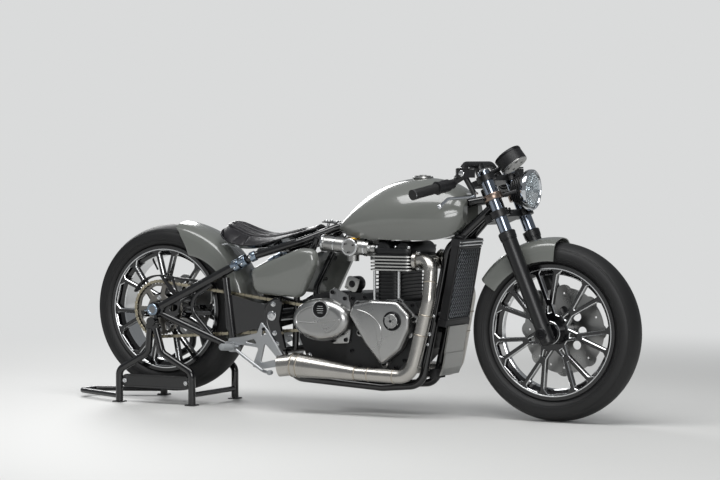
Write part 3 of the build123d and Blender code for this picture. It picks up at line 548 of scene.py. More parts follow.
@dataclass(frozen=True)
class PolishedFins(Finish):
    """Black enamel whose outermost edges are ground back to bright metal, as on a finned head."""

    middle: Flat = (0.25, 0.0)
    half: Flat = (0.088, 0.134)
    corner: float = 0.03
    edge_colour: str = "c9c9c6"

    def shade(self, tree: bpy.types.NodeTree, place: bpy.types.NodeSocket, shader: bpy.types.Node) -> None:
        """Find how near a point is to the fins' outline and turn the upright faces there bright.

        Args:
            tree: the node tree.
            place: the Object coordinates.
            shader: the shader that takes it.
        """
        spot = add(tree, "ShaderNodeSeparateXYZ", links={0: place})
        reach = []
        for axis, centre, half in (("X", self.middle[0], self.half[0]), ("Y", self.middle[1], self.half[1])):
            off = add(tree, "ShaderNodeMath", {1: centre}, {0: spot.outputs[axis]}, operation="SUBTRACT")
            size = add(tree, "ShaderNodeMath", {}, {0: off.outputs[0]}, operation="ABSOLUTE")
            past = add(tree, "ShaderNodeMath", {1: half - self.corner}, {0: size.outputs[0]}, operation="SUBTRACT")
            clear = add(tree, "ShaderNodeMath", {1: 0.0}, {0: past.outputs[0]}, operation="MAXIMUM")
            reach.append(add(tree, "ShaderNodeMath", {1: 2.0}, {0: clear.outputs[0]}, operation="POWER"))
        total = add(tree, "ShaderNodeMath", {}, {0: reach[0].outputs[0], 1: reach[1].outputs[0]}, operation="ADD")
        far = add(tree, "ShaderNodeMath", {1: (self.corner - 0.003) ** 2}, {0: total.outputs[0]},
                  operation="GREATER_THAN")
        facing = add(tree, "ShaderNodeSeparateXYZ", links={0: add(tree, "ShaderNodeTexCoord").outputs["Normal"]})
        rise = add(tree, "ShaderNodeMath", {}, {0: facing.outputs["Z"]}, operation="ABSOLUTE")
        upright = add(tree, "ShaderNodeMath", {1: 0.3}, {0: rise.outputs[0]}, operation="LESS_THAN")
        bright = add(tree, "ShaderNodeMath", {}, {0: far.outputs[0], 1: upright.outputs[0]}, operation="MULTIPLY")
        colour = add(tree, "ShaderNodeMix", {6: linear(self.colour), 7: linear(self.edge_colour)},
                     {0: bright.outputs[0]}, data_type="RGBA")
        tree.links.new(colour.outputs[2], shader.inputs["Base Color"])
        tree.links.new(bright.outputs[0], shader.inputs["Metallic"])


@dataclass(frozen=True)
class ClearGlass(Finish):
    """Pressed clear glass: sharp gloss with what lies behind showing through."""

    def shade(self, tree: bpy.types.NodeTree, place: bpy.types.NodeSocket, shader: bpy.types.Node) -> None:
        """Let light through."""
        shader.inputs["Transmission Weight"].default_value = 1.0
        shader.inputs["IOR"].default_value = 1.45


# Two-coat grey paint under clear lacquer: even, deep gloss with sharp reflections
GREY_PAINT = Finish("grey_lacquered_paint", "656763", 0.24, coat=1.0, mottle=0.03, mottle_mm=220)
# Stoved black enamel on steel tube: gloss with a faint orange peel
BLACK_ENAMEL = Finish("stoved_black_enamel", "09090b", 0.2, coat=0.6, grain=Grain.CAST, grain_mm=9, depth_mm=0.05)
# Satin engine enamel over cast aluminium: a fine sand texture
ENGINE_ENAMEL = Finish("satin_engine_enamel", "0d0e10", 0.42, grain=Grain.CAST, grain_mm=1.6, depth_mm=0.12)
# The head's black enamel, with its fin edges ground bright
FIN_ENAMEL = PolishedFins("ground_fin_enamel", "131416", 0.36)
# Brushed cast aluminium: long fine lines along the covers and warm soft reflections
BRUSHED_COVER = Finish("brushed_cast_aluminium", "a9a9a8", 0.28, 1.0, grain=Grain.BRUSHED, grain_mm=1.2,
                       depth_mm=0.008, stretch=(0.05, 1.0, 1.0))
# Machined aluminium, bare: brighter, with a light cast texture
CAST_ALLOY = Finish("machined_aluminium", "a6a6a4", 0.32, 1.0, grain=Grain.CAST, grain_mm=1.4, depth_mm=0.05)
# Bead-blasted and clear-anodised plate: pale, soft sheen
SATIN_SILVER = Finish("satin_anodised_plate", "b6b8ba", 0.4, 1.0, grain=Grain.CAST, grain_mm=0.8, depth_mm=0.02)
# Freshly turned metal on edges, nuts and lips: the brightest lines of the machine
BRIGHT_CUT = Finish("fresh_turned_metal", "d2d3d4", 0.16, 1.0, grain=Grain.CAST, grain_mm=0.7, depth_mm=0.01,
                    mottle=0.04)
# Brushed stainless steel: soft long reflections
STAINLESS = Finish("brushed_stainless_steel", "b7b4af", 0.26, 1.0, grain=Grain.BRUSHED, grain_mm=1.0,
                        depth_mm=0.004, stretch=(0.06, 1.0, 1.0), mottle=0.14, mottle_mm=70)
# Weld bead: rippled, a little straw-coloured
WELD_STEEL = Finish("welded_bead", "b3aa9c", 0.3, 1.0, grain=Grain.CAST, grain_mm=2.2, depth_mm=0.15, mottle=0.2,
                    mottle_mm=9)
# Radiator core and frame: satin black over aluminium
RADIATOR_BLACK = Finish("satin_black_aluminium", "101012", 0.45, grain=Grain.CAST, grain_mm=2, depth_mm=0.08)
# The core's slats: a grey lighter than the black core, a painted highlight for the little light they catch
CORE_GREY = Finish("core_slats_painted_highlight", "3a3b3d", 0.5, 0.6, grain=Grain.CAST, grain_mm=1.5, depth_mm=0.05)
# Galvanised guard wire
GUARD_STEEL = Finish("galvanised_guard_wire", "6f7275", 0.35, 1.0, grain=Grain.CAST, grain_mm=1.5, depth_mm=0.03)
# Tanned hide, black and lightly polished by use: a pebbled grain
LEATHER = Finish("black_cowhide", "121014", 0.36, grain=Grain.PEBBLED, grain_mm=1.9, depth_mm=0.22, mottle=0.3,
                 mottle_mm=30)
# Waxed black nylon thread
THREAD = Finish("waxed_black_thread", "26242a", 0.5, grain=Grain.BRUSHED, grain_mm=0.6, depth_mm=0.05)
# Chromium plate over nickel: mirror bright
CHROME = Finish("polished_chrome_plate", "cfd2d6", 0.06, 1.0, mottle=0.02)
# Smoked chrome on the stanchions: a darker mirror
DARK_CHROME = Finish("smoked_chrome_plate", "8b93a0", 0.08, 1.0, mottle=0.02)
# Oiled steel of the inner links
CHAIN_STEEL = Finish("oiled_chain_steel", "4b4842", 0.34, 1.0, grain=Grain.CAST, grain_mm=2, depth_mm=0.08)
# Brass-plated outer links and rivets
BRASS_STEEL = Finish("brass_plated_links", "b4ac97", 0.3, 1.0, grain=Grain.CAST, grain_mm=1.4, depth_mm=0.04)
# Hard-coated sprocket: a warm grey metal
SPROCKET_STEEL = Finish("hard_coated_sprocket", "85827d", 0.32, 1.0, grain=Grain.BRUSHED, grain_mm=1.0, depth_mm=0.03)
# Brass of the intake rings
BRASS = Finish("turned_brass", "c0983f", 0.22, 1.0, grain=Grain.CAST, grain_mm=0.8, depth_mm=0.01)
# Bronze-tinted anodising on the lamp clamps
BRONZE_CLAMP = Finish("bronze_anodising", "8a7a70", 0.3, 1.0, grain=Grain.CAST, grain_mm=0.8, depth_mm=0.02)
# Blue-tinted anodising on the frame's clamps
CLAMP_BLUE = Finish("blue_silver_anodising", "8d9aa8", 0.24, 1.0, grain=Grain.CAST, grain_mm=0.8, depth_mm=0.02)
# Oxide-black fasteners
BLACK_BOLT = Finish("black_oxide_steel", "1b1b1d", 0.32, 0.7, grain=Grain.CAST, grain_mm=0.8, depth_mm=0.02)
# Turned steel axles
AXLE_STEEL = Finish("turned_steel", "8f9092", 0.3, 1.0, grain=Grain.CAST, grain_mm=1, depth_mm=0.02)
# Tyre rubber: dull black with a trace of bloom
TYRE_RUBBER = Finish("moulded_tyre_rubber", "0c0c0d", 0.58, grain=Grain.CAST, grain_mm=1.2, depth_mm=0.06,
                     mottle=0.15)
# Gloss black wheel enamel between the bright cut edges
RIM_ENAMEL = Finish("gloss_wheel_enamel", "0b0b0d", 0.16, coat=0.5, mottle=0.03)
# Surface-ground brake steel
DISC_STEEL = Finish("ground_disc_steel", "9a9a99", 0.28, 1.0, grain=Grain.BRUSHED, grain_mm=0.9, depth_mm=0.02)
# Matte black anodising of the fork
FORK_BLACK = Finish("matte_black_anodising", "0b0b0d", 0.38, grain=Grain.CAST, grain_mm=1, depth_mm=0.03)
# Moulded grips
GRIP_RUBBER = Finish("moulded_grip_rubber", "101010", 0.62, grain=Grain.PEBBLED, grain_mm=3, depth_mm=0.3)
# Pale rubber of the foot pegs
PEG_GREY = Finish("moulded_grey_rubber", "8b8e90", 0.55, grain=Grain.PEBBLED, grain_mm=2.5, depth_mm=0.15)
# Moulded black nylon
HOUSING_BLACK = Finish("moulded_black_nylon", "0d0d0f", 0.44, grain=Grain.CAST, grain_mm=1.1, depth_mm=0.05)
# Printed dial marks
DIAL_WHITE = Finish("printed_dial_white", "d8d8d4", 0.5)
# Aluminised reflector
REFLECTOR = Finish("aluminised_reflector", "dfe3e6", 0.1, 1.0, mottle=0.02)
# The lamp's glass
LAMP_GLASS = ClearGlass("pressed_clear_glass", "f2f5f6", 0.02)

NODE_FINISHES: dict[Finish, tuple[str, ...]] = {
    GREY_PAINT: ("fuel_tank", "side_pods", "rear_fender", "front_fender"),
    BLACK_ENAMEL: ("main_frame", "swingarm", "paddock_stand", "side_stand"),
    ENGINE_ENAMEL: ("engine_cases", "cylinder_block", "cam_cover"),
    FIN_ENAMEL: ("cylinder_head",),
    BRUSHED_COVER: ("clutch_cover", "sprocket_cover", "alternator_cover"),
    CAST_ALLOY: ("throttle_bodies", "rearset_right", "rearset_left", "chin_plate", "filler_cap",
                 "rear_caliper", "front_caliper"),
    STAINLESS: ("exhaust_right", "exhaust_left"),
    RADIATOR_BLACK: ("radiator", "radiator_grille", "regulator", "chain_guard"),
    LEATHER: ("seat",),
    CHROME: ("seat_pan", "hand_levers"),
    DARK_CHROME: ("fork_tubes",),
    CHAIN_STEEL: ("drive_chain", "rear_sprocket"),
    AXLE_STEEL: ("rear_axle", "front_axle"),
    TYRE_RUBBER: ("rear_tyre", "front_tyre"),
    RIM_ENAMEL: ("rear_rim", "front_rim"),
    DISC_STEEL: ("rear_disc", "front_disc"),
    FORK_BLACK: ("fork_legs", "triple_clamps", "handlebar"),
    GRIP_RUBBER: ("grips",),
    HOUSING_BLACK: ("control_housings", "headlight_shell", "speedometer"),
    LAMP_GLASS: ("headlight_lens",),
}


def filleted(corners: Sequence[Row], steps: int = 7) -> list[Flat]:
    """Give an outline with its corners rounded.

    Args:
        corners: rows of x, y and corner radius.
        steps: places along each rounded corner.

    Returns:
        The outline.
    """
    points = []
    count = len(corners)
    for index, (x, y, radius) in enumerate(corners):
        corner = Vector((x, y))
        before = (Vector(corners[index - 1][:2]) - corner).normalized()
        after = (Vector(corners[(index + 1) % count][:2]) - corner).normalized()
        half = before.angle(after) / 2
        if radius <= 0 or half > math.radians(89.5):
            points.append((x, y))
            continue
        middle = corner + (before + after).normalized() * (radius / math.sin(half))
        first = corner + before * (radius / math.tan(half)) - middle
        last = corner + after * (radius / math.tan(half)) - middle
        swing = first.angle_signed(last)
        for step in range(steps + 1):
            turned_by = -swing * step / steps
            spot = middle + Vector((first.x * math.cos(turned_by) - first.y * math.sin(turned_by),
                                    first.x * math.sin(turned_by) + first.y * math.cos(turned_by)))
            points.append((spot.x, spot.y))
    return points


def pierced(outline: Outline, holes: Sequence[Outline],
            thickness: float, cut_edge: float = 0.0, cut_slot: int = -1, rim_too: bool = True) -> Solid:
    """Make a plate with holes through it and the edges of both faces cut back.

    Args:
        outline: the plate's outline.
        holes: outlines of the holes.
        thickness: how thick it is, from Z 0 up.
        cut_edge: width of the cut on the edges.
        cut_slot: the finish of that cut, or -1 for the plate's own.
        rim_too: whether the outline's own edges are cut as well.

    Returns:
        The plate.
    """
    part = bmesh.new()
    edges = []
    rim_edges = 0
    for number, loop in enumerate([outline, *holes]):
        corners = [part.verts.new((x, y, 0.0)) for x, y in loop]
        edges += [part.edges.new((corners[i], corners[(i + 1) % len(corners)])) for i in range(len(corners))]
        if number == 0:
            rim_edges = len(edges)
    rim_spots = {vert.co.to_tuple(3) for edge in edges[:rim_edges] for vert in edge.verts}
    bmesh.ops.triangle_fill(part, use_beauty=True, use_dissolve=True, edges=edges)
    made = bmesh.ops.extrude_face_region(part, geom=part.faces[:])
    top = [item for item in made["geom"] if isinstance(item, bmesh.types.BMVert)]
    bmesh.ops.translate(part, verts=top, vec=(0, 0, thickness))
    bmesh.ops.recalc_face_normals(part, faces=part.faces)
    if cut_edge:
        chosen = []
        for edge in part.edges:
            flat = abs(edge.verts[0].co.z - edge.verts[1].co.z) < 1e-5
            if flat and edge.is_manifold and edge.calc_face_angle() > 1.0:
                on_rim = all(Vector((vert.co.x, vert.co.y, 0)).to_tuple(3) in rim_spots for vert in edge.verts)
                if rim_too or not on_rim:
                    chosen.append(edge)
        bevel_edges(part, chosen, cut_edge, 1, cut_slot)
    return part


def carve(part: Solid, cutters: Iterable[Solid]) -> Solid:
    """Cut solids out of another solid.

    Args:
        part: the solid, which is used up.
        cutters: the solids that are cut out, which are used up.

    Returns:
        What is left.
    """
    mesh = bpy.data.meshes.new("carved")
    bmesh.ops.recalc_face_normals(part, faces=part.faces)
    part.to_mesh(mesh)
    part.free()
    work = linked("carved", mesh)
    tools = []
    for cutter in cutters:
        bmesh.ops.recalc_face_normals(cutter, faces=cutter.faces)
        tool_mesh = bpy.data.meshes.new("cutter")
        cutter.to_mesh(tool_mesh)
        cutter.free()
        tool = linked("cutter", tool_mesh)
        change = work.modifiers.new("cut", "BOOLEAN")
        change.operation = "DIFFERENCE"
        change.solver = "EXACT"
        change.object = tool
        tools.append(tool)
    made = bpy.data.meshes.new_from_object(work.evaluated_get(bpy.context.evaluated_depsgraph_get()))
    result = bmesh.new()
    result.from_mesh(made)
    for used in [work, *tools]:
        bpy.data.objects.remove(used)
    bpy.data.meshes.remove(made)
    return result


def moved(part: Solid, place: Matrix) -> Solid:
    """Move a solid to its place."""
    bmesh.ops.transform(part, matrix=place, verts=part.verts)
    return part


def polar(radius: float, degrees: float) -> Flat:
    """Give the flat point at a radius and an angle."""
    return radius * math.cos(math.radians(degrees)), radius * math.sin(math.radians(degrees))


def fender_sheet(centre: Vector, radius: float, half: float, depth: float, first: float, last: float,
                 thickness: float = 3.0, steps: int = 60) -> Solid:
    """Roll a fender's sheet: a crown, a ridge, a shoulder and a skirt turned about a centre.

    Args:
        centre: the middle of the turn.
        radius: the crown's radius.
        half: half of its width.
        depth: how far the skirts reach down from the crown.
        first: the lower angle from straight ahead, in degrees.
        last: the upper angle.
        thickness: the sheet's thickness.
        steps: sections around the turn.

    Returns:
        The sheet.
    """
    def side(r: float, h: float) -> list[Flat]:
        """Give the section from the skirt's foot to the crown.

        Args:
            r: the crown radius.
            h: half of the width.

        Returns:
            Half of the section's outline.
        """
        foot, shoulder, ridge = (r - depth, h), (r - 50, h), (r - 9, h * 0.64)
        round_side = smooth_way([(*shoulder, 0), (r - 25, h * 0.91, 0), (*ridge, 0)], 6)
        crown = smooth_way([(*ridge, 0), (r - 3.4, h * 0.36, 0), (r, 0, 0)], 5)
        return [foot, *[(p.x, p.y) for p in round_side], *[(p.x, p.y) for p in crown[1:]]]

    outer = side(radius, half)
    inner = [(r - thickness, y) for r, y in side(radius, half - thickness)]
    inner[0] = (radius - depth, half - thickness)
    loop = outer + [(r, -y) for r, y in outer[-2::-1]] + [(r, -y) for r, y in inner] + [
        (r, y) for r, y in inner[-2::-1]]
    part = bmesh.new()
    start = math.radians(first)
    corners = [part.verts.new(centre + Vector((r * math.cos(start), y, r * math.sin(start)))) for r, y in loop]
    edges = [part.edges.new((corners[i], corners[(i + 1) % len(corners)])) for i in range(len(corners))]
    bmesh.ops.spin(part, geom=corners + edges, cent=centre, axis=(0, -1, 0), angle=math.radians(last - first),
                   steps=steps, use_merge=False, use_duplicate=False)
    bmesh.ops.holes_fill(part, edges=part.edges[:], sides=0)
    return part


@dataclass
class Shape:
    """One piece while it is made: simple solids joined into one mesh, in millimetres."""

    whole: Solid = field(default_factory=bmesh.new)

    def join(self, part: Solid, places: Matrix | Iterable[Matrix] = Matrix(), slot: int = 0) -> None:
        """Copy a solid to its places, with its faces outward and in one finish.

        Args:
            part: the solid, which is used up.
            places: one matrix, or one for each copy.
            slot: which of the piece's finishes the solid has.
        """
        bmesh.ops.recalc_face_normals(part, faces=part.faces)
        for face in part.faces:
            face.material_index = slot
        merge(self.whole, part, [places] if isinstance(places, Matrix) else places)

    def bar(self, start: Sequence[float], end: Sequence[float], radius: float, end_radius: float | None = None,
            sides: int = 24, round_mm: float = 0.0, slot: int = 0) -> None:
        """Join a bar between two points."""
        way = Vector(end) - Vector(start)
        self.join(rod(way.length, radius, end_radius, sides, round_mm), stand_at(start, way), slot)

    def piece(self, name: str, body: str, finishes: Sequence["Finish"]) -> bpy.types.Object:
        """Finish the mesh, give it its materials and let it ride on a body.

        Args:
            name: the piece's name.
            body: the body that carries it.
            finishes: one finish for each slot.

        Returns:
            The new object, at the origin.
        """
        bmesh.ops.scale(self.whole, vec=(MM, MM, MM), verts=self.whole.verts)
        for face in self.whole.faces:
            face.smooth = True
        sharp = math.radians(SHARP_DEG)
        for edge in self.whole.edges:
            edge.smooth = len(edge.link_faces) == 2 and edge.calc_face_angle() < sharp
        mesh = bpy.data.meshes.new(name)
        self.whole.to_mesh(mesh)
        self.whole.free()
        for finish in finishes:
            mesh.materials.append(finish.material())
        made = linked(name, mesh)
        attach(made, body)
        LOG.info("%s: %d faces on %s", name, len(mesh.polygons), body)
        return made


@dataclass
class SeatLeather:
    """The leather seat: filled and swollen over its pan, with sewn channels, seams and an edge welt."""

    voxel_mm: float = 5.0
    pressure: float = 4.0
    frames: int = 20
    start_inset: float = 4.0
    most_swell: float = 8.0
    channel_depth: float = 6.0
    channel_width: float = 4.2
    roll_rise: float = 3.0
    channels: tuple[float, ...] = (-0.56, -0.34, -0.115, 0.115, 0.34, 0.56)
    channel_back: float = -714.0
    channel_front: float = -372.0
    cross_seam: float = -596.0
    # x from the engine, half width, underside, as the seat's pan has them
    stations: tuple[Row, ...] = (
        (-728, 60, 652), (-690, 118, 622), (-610, 142, 600), (-530, 136, 602), (-440, 102, 626), (-330, 56, 662),
    )
    brim_rise: float = 12.0
    welt_radius: float = 3.2
    stitch_pitch: float = 8.0
    # a normal that points down more than this is on the underside
    underside: float = -0.6

    def build(self, cad_seat: bpy.types.Object) -> None:
        """Make the cushion, its stitches and its welt, and let them stand for the plain seat.

        Args:
            cad_seat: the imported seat.
        """
        skin = self.remeshed(cad_seat)
        skin = self.swollen(skin)
        skin = self.subdivided(skin)
        shape = bmesh.new()
        shape.from_mesh(skin)
        bmesh.ops.recalc_face_normals(shape, faces=shape.faces)
        bmesh.ops.smooth_vert(shape, verts=shape.verts, factor=0.5, use_axis_x=True, use_axis_y=True, use_axis_z=True)
        self.press_channels(shape)
        for face in shape.faces:
            face.smooth = True
        mesh = bpy.data.meshes.new("seat_leather")
        shape.to_mesh(mesh)
        tree = BVHTree.FromBMesh(shape)
        shape.free()
        mesh.materials.append(LEATHER.material())
        cushion = linked("seat_leather", mesh)
        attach(cushion, "chassis")
        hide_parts("seat")
        LOG.info("seat_leather: %d faces", len(mesh.polygons))
        self.sew(tree)
        self.lay_welt()

    def half_width(self, x: float) -> float:
        """Give the seat's half width at a place along the machine.

        Args:
            x: place along the machine, forward.

        Returns:
            Half of the width.
        """
        rows = self.stations
        ahead = x - ENGINE_X
        for (x0, half0, _), (x1, half1, _) in zip(rows, rows[1:]):
            if ahead <= x1:
                share = min(max((ahead - x0) / (x1 - x0), 0.0), 1.0)
                return half0 + (half1 - half0) * share
        return rows[-1][1]

    def evaluated(self, holder: bpy.types.Object) -> bpy.types.Mesh:
        """Give a holder's mesh with its modifiers applied, and drop the holder.

        Args:
            holder: the object that holds the mesh.

        Returns:
            The new mesh.
        """
        graph = bpy.context.evaluated_depsgraph_get()
        made = bpy.data.meshes.new_from_object(holder.evaluated_get(graph))
        bpy.data.objects.remove(holder)
        return made

    def remeshed(self, cad_seat: bpy.types.Object) -> bpy.types.Mesh:
        """Copy the plain seat as an even mesh and draw it in, because it swells afterwards.

        Args:
            cad_seat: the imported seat.

        Returns:
            The new mesh.
        """
        work = linked("seat_work", cad_seat.data.copy())
        change = work.modifiers.new("voxels", "REMESH")
        change.mode = "VOXEL"
        change.voxel_size = self.voxel_mm * MM
        mesh = self.evaluated(work)
        shape = bmesh.new()
        shape.from_mesh(mesh)
        bmesh.ops.recalc_face_normals(shape, faces=shape.faces)
        for vert in shape.verts:
            if vert.normal.z > self.underside:
                vert.co -= vert.normal * self.start_inset * MM * 1.0
        shape.to_mesh(mesh)
        shape.free()
        return mesh

    def swollen(self, mesh: bpy.types.Mesh) -> bpy.types.Mesh:
        """Swell the skin by cloth pressure over its pinned underside, with its movement capped.

        Args:
            mesh: the mesh to work on.

        Returns:
            The new mesh.
        """
        start = [vert.co.copy() for vert in mesh.vertices]
        work = linked("seat_work", mesh)
        pinned = work.vertex_groups.new(name="pinned")
        pinned.add([vert.index for vert in mesh.vertices if vert.normal.z < self.underside], 1.0, "REPLACE")
        cloth = work.modifiers.new("cloth", "CLOTH")
        cloth.settings.vertex_group_mass = "pinned"
        cloth.settings.use_pressure = True
        cloth.settings.uniform_pressure_force = self.pressure
        cloth.settings.effector_weights.gravity = 0
        cloth.point_cache.frame_start = 1
        cloth.point_cache.frame_end = self.frames
        scene = bpy.context.scene
        for frame in range(1, self.frames + 1):
            scene.frame_set(frame)
        made = self.evaluated(work)
        scene.frame_set(1)
        most = self.most_swell * MM
        for vert, old in zip(made.vertices, start):
            moved = vert.co - old
            if moved.length > most:
                vert.co = old + moved.normalized() * most
        return made

    def subdivided(self, mesh: bpy.types.Mesh) -> bpy.types.Mesh:
        """Round the mesh by one subdivision.

        Args:
            mesh: the mesh to work on.

        Returns:
            The new mesh.
        """
        work = linked("seat_work", mesh)
        change = work.modifiers.new("finer", "SUBSURF")
        change.levels = 1
        change.render_levels = 1
        return self.evaluated(work)

    def reach(self, x: float) -> float:
        """Give how fully the channels are pressed at a place along, from 0 past their ends to 1.

        Args:
            x: place along the machine, forward.

        Returns:
            A share from 0 to 1.
        """
        ahead = x - ENGINE_X
        fade = 26.0
        return min(max((ahead - self.channel_back) / fade, 0.0), 1.0) * min(
            max((self.channel_front - ahead) / fade, 0.0), 1.0)

    def press_channels(self, shape: Solid) -> None:
        """Press the long channels and the cross seam into the top and let the rolls between them stand up.

        Args:
            shape: the leather's mesh.
        """
        outer = self.channels[-1]
        step = self.channels[-1] - self.channels[-2]
        for vert in shape.verts:
            if vert.normal.z < 0.05:
                continue
            x, y = vert.co.x / MM, vert.co.y / MM
            half = self.half_width(x)
            share = y / half
            depth = 0.0
            reach = self.reach(x)
            for line in self.channels:
                off = (share - line) * half / self.channel_width
                depth += self.channel_depth * math.exp(-off * off) * reach
            if abs(share) < outer:
                wave = math.cos(math.tau * (share - self.channels[0]) / step)
                depth -= self.roll_rise * 0.5 * (1 - wave) * reach
            if abs(share) > outer - 0.02:
                off = (x - ENGINE_X - self.cross_seam) / self.channel_width
                depth += self.channel_depth * 0.6 * math.exp(-off * off)
            vert.co -= vert.normal * depth * MM * min(1.0, max(0.0, vert.normal.z) * 2)

    def surface(self, tree: BVHTree, x: float, y: float) -> Vector | None:
        """Find the top of the leather above a place, in millimetres."""
        hit = tree.ray_cast(Vector((x, y, 900.0)) * MM, Vector((0, 0, -1)))
        return hit[0] / MM if hit[0] else None

    def sew(self, tree: BVHTree) -> None:
        """Lay stitches on both sides of every channel.

        Args:
            tree: the leather's faces, for finding its top.
        """
        shape = Shape()
        places = []
        aside = self.channel_width + 1.2
        for line in self.channels:
            for side in (-aside, aside):
                x = ENGINE_X + self.channel_back + 12
                while x < ENGINE_X + self.channel_front - 12:
                    here = self.surface(tree, x, line * self.half_width(x) + side)
                    ahead = self.surface(tree, x + 2, line * self.half_width(x + 2) + side)
                    if here and ahead:
                        places.append(stand_at(here - (ahead - here) * 1.1, ahead - here))
                    x += self.stitch_pitch
        shape.join(rod(4.8, 0.75, sides=6, round_mm=0.3), places)
        shape.piece("seat_stitches", "chassis", [THREAD])

    def lay_welt(self) -> None:
        """Lay the leather-covered welt around the lower edge, between the cushion and its pan."""
        rows = [(ENGINE_X + x, half + 0.5, low + self.brim_rise + 1.5) for x, half, low in self.stations]
        right = [(x, -half, z) for x, half, z in rows]
        left = [(x, half, z) for x, half, z in reversed(rows)]
        shape = Shape()
        shape.join(tube(smooth_way(right + left, 7, closed=True), self.welt_radius, 10, closed=True))
        shape.piece("seat_welt", "chassis", [LEATHER])


@dataclass
class WheelTrim:
    """What one wheel carries: edge rings, a valve, moulded lines on the tyre and bolts at the hub."""

    name: str
    body: str
    centre: Vector
    tyre_radius: float
    tyre_width: float
    rim_width: float
    hub_width: float
    hub_radius: float
    lip_radius: float = 242.5
    line_radii: tuple[float, ...] = (262.0, 268.0, 296.0, 299.5)
    line_height: float = 0.7

    def build(self) -> None:
        """Build all of the wheel's trim."""
        self.mould_lines()
        self.ring_rim()
        self.cap_hub()

    def wall_at(self, radius: float) -> float:
        """Give how far from the middle plane the tyre's side is at a radius.

        Args:
            radius: distance from the axle.

        Returns:
            The distance across.
        """
        half = self.tyre_width / 2
        a = Vector((self.lip_radius + 2, self.rim_width / 2 - 8))
        b = Vector((self.tyre_radius - 44, half))
        c = Vector((self.tyre_radius - 17, half * 0.8))
        d = 2 * (a.x * (b.y - c.y) + b.x * (c.y - a.y) + c.x * (a.y - b.y))
        ux = (a.length_squared * (b.y - c.y) + b.length_squared * (c.y - a.y) + c.length_squared * (a.y - b.y)) / d
        uy = (a.length_squared * (c.x - b.x) + b.length_squared * (a.x - c.x) + c.length_squared * (b.x - a.x)) / d
        round_radius = (a - Vector((ux, uy))).length
        return uy + math.sqrt(max(round_radius**2 - (radius - ux) ** 2, 0.0))

    def mould_lines(self) -> None:
        """Raise the fine rings that the mould leaves on both sides of the tyre."""
        shape = Shape()
        for radius in self.line_radii:
            wall = self.wall_at(radius)
            low, high = wall - 0.6, wall + self.line_height
            for side in SIDES:
                section = [(radius - 1.4, low), (radius - 0.5, high), (radius + 0.5, high), (radius + 1.4, low)]
                shape.join(turned(section, 128), stand_at(self.centre, (0, side, 0)))
        shape.piece(f"{self.name}_tyre_lines", self.body, [TYRE_RUBBER])

    def ring_rim(self) -> None:
        """Cut the bright line on the rim's outer edge and stand the valve in the barrel."""
        shape = Shape()
        half = self.rim_width / 2
        for side in SIDES:
            section = [(self.lip_radius - 17.2, half - 0.4), (self.lip_radius - 16.2, half + 0.5),
                       (self.lip_radius - 13.0, half + 0.5), (self.lip_radius - 12.4, half - 0.4)]
            shape.join(turned(section, 128), stand_at(self.centre, (0, side, 0)))
        root = self.centre + Vector((0, 10, 0)) + Vector((math.cos(2.1), 0, math.sin(2.1))) * 205
        way = Vector((-math.cos(2.1), 0, -math.sin(2.1)))
        shape.bar(root, root + way * 30, 4.2, 3.4, 16, slot=1)
        shape.bar(root + way * 30, root + way * 38, 3.9, 3.6, 12, 0.6, slot=1)
        shape.piece(f"{self.name}_rim_line", self.body, [BRIGHT_CUT, HOUSING_BLACK])

    def cap_hub(self) -> None:
        """Close the hub's ends with stepped caps and bolt the brake disc's carrier."""
        shape = Shape()
        face = self.hub_width / 2
        radius = self.hub_radius
        ring = [(radius - 9, 0), (radius - 9, 2.2), (radius - 7.6, 3.2), (radius - 1.4, 3.2), (radius, 2.0),
                (radius, 0)]
        shape.join(turned(ring, 64), stand_at(self.centre - Vector((0, face, 0)), (0, -1, 0)))
        bolts = []
        for turn in range(6):
            angle = math.tau * turn / 6
            spot = Vector((math.cos(angle), 0, math.sin(angle))) * (radius - 2 if self.name == "front" else 34)
            bolts.append(stand_at(self.centre + spot + Vector((0, face + 5, 0)), (0, 1, 0)))
        shape.join(button_head(6.5, 5), bolts, 1)
        shape.piece(f"{self.name}_hub_trim", self.body, [BRIGHT_CUT, BLACK_BOLT])


